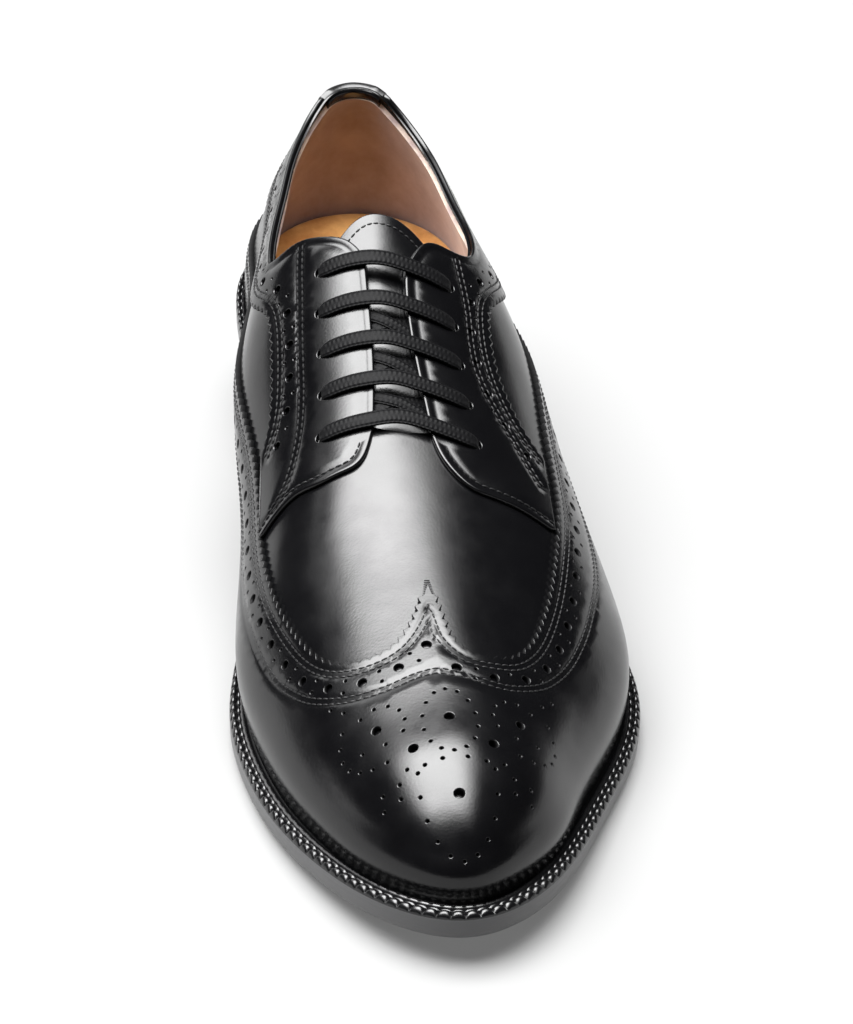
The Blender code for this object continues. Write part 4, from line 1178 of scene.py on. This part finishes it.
class DERBY_OT_backstay(bpy.types.Operator):
    """Strip up the back seam."""
    bl_idname = "derby.backstay"
    bl_label = "Backstay"

    def execute(self, context):
        sizes = context.scene.derby_sizes
        sides = {s: stay_edge(s, BACKSTAY_HALF, STAY_TOP) for s in SIDES}
        ends = from_flat(sides["lateral"][[0, -1]])[:, 0]
        top, foot = (to_flat(np.stack([np.linspace(-end, end, 15)[1:-1], np.full(13, rise)], 1))
                     for end, rise in zip(ends[::-1], (STAY_TOP, TUCK)))
        outline = np.concatenate([sides["lateral"], top[::-1], sides["medial"][::-1], foot])
        middle = middle_of(0.0, 0.3)
        rows = [beside(sides[s], distance, middle) for s in SIDES for distance in SEAM_ROWS.values()]
        flat, tris = cut_panel(outline, [], sizes.cell, rows)
        points, faces, zone, shading = panel_shape(
            flat, tris, 0.0, OVERLAY + STAY_OVER, STAY_RIM, NO_HOLE, (rows, *TROUGH))
        set_shading(add_piece("backstay_strip", points, faces, [FINISH["calf"], FINISH["cut"]], zone > 11,
                              nodes=["backstay"], sharp=50), shading)
        add_stitches("backstay_stitches", rows, OVERLAY, sizes)
        self.tab()
        return {"FINISHED"}

    def tab(self):
        """Leather folded over the collar at the back seam."""
        u = np.linspace(-TAB_HALF, TAB_HALF, 25)
        rise = np.interp(np.abs(u), COLLAR["lateral"]["way"], COLLAR["lateral"]["rise"])
        speed = np.linalg.norm(last_slopes(u, rise)[1], axis=1)
        over = OVERLAY + STAY_OVER
        section = ((6.6, over + 0.1), (6.3, over + 0.3), (0.8, over + 0.3), (0.0, over + 0.05), (-0.35, 0.8),
                   (-0.4, -0.6), (-0.2, -1.4), (0.5, -1.8), (3.2, -1.9), (3.5, -1.6), (3.4, -0.8),
                   (0.6, -0.8), (0.6, 0.9), (6.5, 0.9))
        rings = []
        for drop, height in section:
            v = rise - drop / speed
            rings.append(last_point(u, v) + last_normal(u, v) * height)
        count = len(u)
        faces = []
        for k in range(len(rings)):
            a, b = k * count, (k + 1) % len(rings) * count
            faces += [(a + i, a + i + 1, b + i + 1, b + i) for i in range(count - 1)]
        faces += [tuple(k * count + end for k in range(len(rings))) for end in (0, count - 1)]
        add_piece("heel_tab", np.concatenate(rings), faces, [FINISH["calf"]], sharp=50)


class DERBY_OT_tongue(bpy.types.Operator):
    """Tongue with a row of stitches near its top."""
    bl_idname = "derby.tongue"
    bl_label = "Tongue"

    def execute(self, context):
        sizes = context.scene.derby_sizes
        rows = [*zip(2 - TONGUE_EDGE["medial"]["way"], TONGUE_EDGE["medial"]["rise"])][::-1]
        rows += [(TONGUE_TOP, 1.0), *zip(TONGUE_EDGE["lateral"]["way"], TONGUE_EDGE["lateral"]["rise"])]
        edge = smooth_path(to_flat(rows), 1.0)
        outline = np.concatenate([edge, to_flat([(TONGUE_FOOT, 1.0)])])
        flat, tris = cut_panel(outline, [], sizes.cell)
        points, faces, _, shading = panel_shape(flat, tris, TONGUE_IN, TONGUE_OUT, TONGUE_RIM, NO_HOLE)
        set_shading(add_piece("tongue_leather", points, faces, [FINISH["calf"]], nodes=["tongue"],
                              sharp=50), shading)
        middle = np.linalg.norm(edge - to_flat([(TONGUE_TOP, 1.0)]), axis=1).argmin()
        row = beside(edge[middle - 22:middle + 23], TONGUE_ROW, middle_of(0.5, 1.0))
        add_stitches("tongue_stitches", [row], TONGUE_OUT, sizes)
        return {"FINISHED"}


def ring_points(u, inset, height):
    """Ring of the outline in x, s, z; inset and height are numbers or one value per point."""
    x, s, _, _ = edge_point(u, inset)
    return np.stack([x, s, underside(s) + height], -1)


def bridge(first, second, count):
    """Faces between two rings of points."""
    turn = [(i + 1) % count for i in range(count)]
    return [(first + i, first + turn[i], second + turn[i], second + i) for i in range(count)]


def stack_faces(rings, count, shift=0):
    """Faces of a stack of rings, closed at both ends by strips from side to side.

    A ring that starts at the heel back has no shift; one that starts at the heel breast has 1.
    """
    faces = []
    for k in range(rings - 1):
        faces += bridge(k * count, (k + 1) * count, count)
    for base in (0, (rings - 1) * count):
        for i in range(count // 2):
            far = count - i - shift
            corners = dict.fromkeys(base + k % count for k in (i, i + 1, far - 1, far))
            if len(corners) > 2:
                faces.append(tuple(corners))
    return faces


def round_ways(steps):
    """u of points all round the shoe, at the same ways on both sides."""
    half = np.linspace(0, 1, steps)
    return np.concatenate([half, 2 - half[-2:0:-1]])


class DERBY_OT_sole(bpy.types.Operator):
    """Outsole and welt, with the welt's two rows of wheeled teeth."""
    bl_idname = "derby.sole"
    bl_label = "Sole and welt"

    def execute(self, context):
        sizes = context.scene.derby_sizes
        self.outsole()
        self.welt(sizes)
        return {"FINISHED"}

    def outsole(self):
        """Leather sole; its rounded edge is inked, underside and seat are stained."""
        u = round_ways(161)
        section = ((3.2, 0.0), (2.2, 0.05), (1.4, 0.3), (0.8, 0.8), (0.4, 1.6), (0.15, 2.6),
                   (0.06, SOLE + 0.25), (SEAT_WIDTH, SOLE + 0.25), (SEAT_WIDTH + 1, SOLE + WELT - GROOVE))
        points = np.concatenate([ring_points(u, inset, up) for inset, up in section])
        faces = stack_faces(len(section), len(u))
        zone = [0 if 1 < i // len(u) < 6 else 1 for i in range(len(faces))]
        add_piece("outsole_leather", points, faces, [FINISH["edge"], FINISH["bottom"]], zone,
                  nodes=["outsole"])

    def welt(self, sizes):
        """Welt with an outer row of large teeth and an inner row of small ones."""
        fine = np.linspace(0, 2, 4001)
        x, s, _, _ = edge_point(fine, 1.5)
        run = run_of(np.stack([x, s], 1))
        teeth = int(round(run[-1] / sizes.tooth))
        per = 8
        count = teeth * per
        u = np.interp(np.arange(count) * run[-1] / count, run, fine)
        way = np.minimum(u, 2 - u)
        width = REACH_AT(way) - RIM_CLEAR
        phase = np.abs(np.mod(np.arange(count) / per, 1.0) * 2 - 1)
        crown = np.sqrt(np.clip(1 - (phase * 1.05) ** 2, 0, 1))
        seat, top = SOLE + GAP, SOLE + WELT + 0.35
        cut = 1 - crown
        level = np.zeros(count)
        section = [(level + inset, level + up - cut * deep) for inset, up, deep in (
            (0.06, seat - 0.05, 0.0), (0.0, seat + 0.3, 0.0), (0.02, seat + 1.2, 0.0), (0.12, top - 1.2, 0.2),
            (0.12 * width, top - 0.45, 0.85), (0.20 * width, top - 0.08, 1.15), (0.30 * width, top, 1.2),
            (0.40 * width, top - 0.2, 1.0), (0.46 * width, top - 0.75, 0.5), (0.50 * width, top - 1.25, 0.0),
            (0.55 * width, top - 0.85, 0.4), (0.63 * width, top - 0.6, 0.6), (0.70 * width, top - 0.75, 0.45),
            (0.75 * width, top - 1.25, 0.0), (0.84 * width, top - 1.2, 0.0), (0.91 * width, top - 1.0, 0.0),
            (0.94 * width, top - 0.85, 0.1), (0.97 * width, top - 1.0, 0.0), (width + 0.35, top - 1.3, 0.0),
            (width + 0.6, top - 1.5, 0.0), (width + 1.2, SOLE + WELT - GROOVE, 0.0),
            (SEAT_WIDTH, SOLE + WELT - GROOVE, 0.0), (SEAT_WIDTH, seat, 0.0))]
        points = np.concatenate([ring_points(u, inset, up) for inset, up in section])
        faces, zone = [], []
        for k in range(len(section)):
            faces += bridge(k * count, (k + 1) % len(section) * count, count)
            zone += [0 if k < 2 else 1] * count
        add_piece("welt_wheeled", points, faces, [FINISH["edge"], FINISH["welt"]], zone, nodes=["welt"],
                  sharp=60)


class DERBY_OT_heel(bpy.types.Operator):
    """Stacked heel lifts and the rubber top lift."""
    bl_idname = "derby.heel"
    bl_label = "Heel"

    def execute(self, context):
        half = np.linspace(0, float(way_of(HEEL_BREAST)), 60)
        u = np.concatenate([half[::-1], 2 - half[1:]])

        def level_ring(inset, height):
            x, s, _, _ = edge_point(u, inset)
            return np.stack([x, s, np.broadcast_to(height(s), s.shape)], -1)

        def stacked(name, rings, finish, node):
            add_piece(name, np.concatenate(rings), stack_faces(len(rings), len(u), 1), [finish],
                      nodes=[node])
        lifts = 4
        rings = []
        for k in range(lifts):
            for share, dent in ((0.03, 0.22), (0.08, 0.0), (0.92, 0.0), (0.97, 0.22)):
                part = (k + share) / lifts
                rings.append(level_ring(1.9 - 0.7 * part + dent, lambda s, part=part: (
                    TOP_LIFT + 0.1 + (underside(s) - TOP_LIFT - 0.1) * part)))
        stacked("heel_lifts", rings, FINISH["edge"], "heel_stack")
        lift = [level_ring(inset, lambda s, up=up: np.full_like(s, up)) for inset, up in (
            (3.4, 0.0), (2.4, 0.25), (2.1, 0.9), (1.95, TOP_LIFT - 0.3), (2.2, TOP_LIFT))]
        stacked("heel_rubber_lift", lift, FINISH["rubber"], "heel_top_lift")
        return {"FINISHED"}


class DERBY_OT_insole(bpy.types.Operator):
    """Insole with its tan sock, dished under the heel."""
    bl_idname = "derby.insole"
    bl_label = "Insole"

    def execute(self, context):
        u = round_ways(121)
        way = np.minimum(u, 2 - u)
        groove = SOLE + WELT - GROOVE
        rings = []
        edge = REACH_AT(way) + WALL + 0.2

        def top(s):
            pad = 1 - smooth_step(*PAD_FADE, s)
            return groove + GAP + INSOLE_FORE + (INSOLE_HEEL - INSOLE_FORE) * pad
        for inset, sink in ((0.0, None), (0.0, 0.9), (0.4, 0.25), (1.2, 0.0), (6.0, 0.2), (12.0, 0.6)):
            x, s, _, _ = edge_point(u, edge + inset)
            up = groove + GAP + 0 * s if sink is None else top(s) - sink
            rings.append(np.stack([x, s, underside(s) + up], -1))
        add_piece("insole_sock", np.concatenate(rings), stack_faces(len(rings), len(u)), [FINISH["sock"]],
                  nodes=["insole"], sharp=50)
        return {"FINISHED"}


def lace_shape(path, normals, widths, thicks):
    """Flat lace with rounded edges along a path; gives points, faces and the weave's places."""
    along = unit(np.gradient(path, axis=0))
    side = unit(np.cross(along, normals))
    up = np.cross(side, along)
    sides = 16
    turn = np.arange(sides) * 2 * np.pi / sides
    flat = np.sign(np.cos(turn)) * np.abs(np.cos(turn)) ** 0.55
    high = np.sign(np.sin(turn)) * np.abs(np.sin(turn)) ** 0.6
    points = np.stack([path + side * (w * widths / 2)[:, None] + up * (h * thicks / 2)[:, None]
                       for w, h in zip(flat, high)], 1)
    run = run_of(path)
    rows = len(path)
    faces, weave = [], []
    for i in range(rows - 1):
        for k in range(sides):
            j = (k + 1) % sides
            faces.append((i * sides + k, i * sides + j, (i + 1) * sides + j, (i + 1) * sides + k))
            a, b = 4 * k / sides, 4 * (k + 1) / sides
            weave += [(run[i], a), (run[i], b), (run[i + 1], b), (run[i + 1], a)]
    for base in (0, (rows - 1) * sides):
        faces.append(tuple(base + k for k in range(sides)))
        weave += [(run[0], 0.0)] * sides
    return points.reshape(-1, 3), faces, weave


def smooth_path(knots, step=0.6):
    """Smooth curve through a few points."""
    knots = np.asarray(knots, float)
    t = run_of(knots)
    fine = np.linspace(0, t[-1], max(4, int(t[-1] / step)))
    return np.stack([spline(t, knots[:, k])(fine) for k in range(knots.shape[1])], 1)


class DERBY_OT_laces(bpy.types.Operator):
    """Flat lace: straight bars through the eyelets and strands that cross under them."""
    bl_idname = "derby.laces"
    bl_label = "Laces"

    def execute(self, context):
        sizes = context.scene.derby_sizes
        bars = len(EYELETS["way_lat"])
        pieces = [self.bar(k, sizes) for k in range(bars)]
        pieces += [self.strand(k, flip) for k in range(1, bars - 1) for flip in (0, 1)]
        points, faces = joined(piece[:2] for piece in pieces)
        lace = add_piece("flat_lace", points, faces, [FINISH["lace"]], nodes=["laces"],
                         sharp=70)
        layer = lace.data.uv_layers.new(name="weave")
        weave = np.concatenate([piece[2] for piece in pieces])
        layer.data.foreach_set("uv", weave.astype(np.float32).ravel())
        return {"FINISHED"}

    def bar(self, k, sizes):
        """A bar up through one eyelet, over the throat and down through the other."""
        spots = eyelet_spots(k)
        share = np.linspace(-1, 1, 9)
        flat = spots[0] + (spots[1] - spots[0]) * (share[:, None] + 1) / 2
        normals = flat_normals(flat)
        path = on_last(flat, OVERLAY + 0.65 + 0.5 * (1 - share ** 2))
        path, normals = list(path[1:-1]), list(normals[1:-1])
        for end in (0, -1):
            spot, normal = on_last(spots[end:][:1])[0], flat_normals(spots[end:][:1])[0]
            away = unit(path[end] - path[3])
            for up, tilt in ((0.6, 0.6), (-2.2, 1.0)):
                path.insert(len(path) if end else 0, spot + normal * up)
                normals.insert(len(normals) if end else 0, normal * (1 - tilt) + away * tilt)
        path = smooth_path(np.concatenate([path, normals], 1))
        ends = run_of(path[:, :3])
        ends = np.minimum(ends, ends[-1] - ends)
        share = smooth_step(1.5, 6.5, ends)
        return lace_shape(path[:, :3], path[:, 3:], LACE_FOLDED + (sizes.lace - LACE_FOLDED) * share,
                          LACE_THICK - LACE_THIN * share)

    def strand(self, k, flip):
        """A strand that slants across the slot under the bars."""
        medial, lateral = (k, k + 1) if flip else (k + 1, k)
        start, stop = eyelet_spots(medial)[0], eyelet_spots(lateral)[1]
        share = np.linspace(-0.6, 0.6, 15)
        flat = start + (stop - start) * (share[:, None] + 1) / 2
        normals = flat_normals(flat)
        path = on_last(flat, -0.7 - 2.5 * share ** 2 + 0.6 * flip)
        path = smooth_path(np.concatenate([path, normals], 1))
        return lace_shape(path[:, :3], path[:, 3:], np.full(len(path), STRAND_WIDE),
                          np.full(len(path), STRAND_THICK))


class DERBY_OT_stage(bpy.types.Operator):
    """Pale floor, soft studio light and the camera."""
    bl_idname = "derby.stage"
    bl_label = "Stage"

    def execute(self, context):
        scene = context.scene
        stage = scene.derby_stage
        bpy.ops.object.select_all(action="DESELECT")
        bpy.ops.mesh.primitive_plane_add(size=FLOOR_SIZE)
        floor = context.object
        floor.name = "studio_floor"
        floor.data.materials.append(FINISH["floor"])
        world = bpy.data.worlds.new("studio")
        scene.world = world
        world.use_nodes = True
        tree = world.node_tree
        back = tree.nodes["Background"]
        way = add_node(tree, "ShaderNodeTexCoord").outputs["Generated"]
        height = add_node(tree, "ShaderNodeSeparateXYZ", None, {"Vector": way})
        up = add_maths(tree, "MAXIMUM", height.outputs["Z"], LOWEST_LOOK)
        plan = [add_maths(tree, "DIVIDE", height.outputs[axis], up) for axis in ("X", "Y")]
        total = self.fade(tree, height.outputs["Z"], stage.horizon_low, stage.horizon_high,
                          stage.horizon, DARK_ROOM)
        for x_sides, y_sides, softness, glow in SOFTBOXES:
            box = glow * stage.key
            for value, (low, high), soft in zip(plan, (x_sides, y_sides), softness):
                for start, full in ((low - soft, low + soft), (high + soft, high - soft)):
                    box = add_maths(tree, "MULTIPLY", self.fade(tree, value, start, full, 0.0, 1.0), box)
            total = add_maths(tree, "ADD", total, box)
        tree.links.new(total, back.inputs["Color"])
        bpy.ops.object.camera_add(location=CAMERA_AT)
        camera = context.object
        camera.name = "photo_camera"
        camera.data.lens = stage.lens
        camera.data.sensor_width = 36.0
        camera.data.clip_end = 50.0
        look = (Vector(CAMERA_AIM) - camera.location).to_track_quat("-Z", "Y")
        camera.rotation_mode = "QUATERNION"
        camera.rotation_quaternion = look @ Quaternion((0, 0, 1), ROLL)
        scene.camera = camera
        scene.view_settings.view_transform = "Standard"
        return {"FINISHED"}

    def fade(self, tree, value, start, full, low, high):
        """A smooth ramp of a value."""
        return add_ramp(tree, value, start, full, low, high, "SMOOTHSTEP")


OPERATORS = (DERBY_OT_upper, DERBY_OT_wing_tip, DERBY_OT_facings, DERBY_OT_backstay, DERBY_OT_tongue,
             DERBY_OT_sole, DERBY_OT_heel, DERBY_OT_insole, DERBY_OT_laces, DERBY_OT_stage)


class DERBY_PT_panel(bpy.types.Panel):
    """Buttons for the shoe's pieces and its settings."""
    bl_label = "Brogue derby"
    bl_idname = "DERBY_PT_panel"
    bl_space_type = "VIEW_3D"
    bl_region_type = "UI"
    bl_category = "Derby"

    def draw(self, context):
        for operator in OPERATORS:
            self.layout.operator(operator.bl_idname)
        for group in (context.scene.derby_sizes, context.scene.derby_colours, context.scene.derby_stage):
            for name in group.__annotations__:
                self.layout.prop(group, name)


CLASSES = (DerbyColours, DerbySizes, DerbyStage, *OPERATORS, DERBY_PT_panel)


def register():
    for cls in CLASSES:
        bpy.utils.register_class(cls)
    bpy.types.Scene.derby_colours = PointerProperty(type=DerbyColours)
    bpy.types.Scene.derby_sizes = PointerProperty(type=DerbySizes)
    bpy.types.Scene.derby_stage = PointerProperty(type=DerbyStage)


def unregister():
    del bpy.types.Scene.derby_stage
    del bpy.types.Scene.derby_sizes
    del bpy.types.Scene.derby_colours
    for cls in reversed(CLASSES):
        bpy.utils.unregister_class(cls)


def main():
    register()
    make_finishes(bpy.context.scene.derby_colours)
    for operator in OPERATORS:
        group, name = operator.bl_idname.split(".")
        getattr(getattr(bpy.ops, group), name)()


if __name__ == "__main__":
    main()
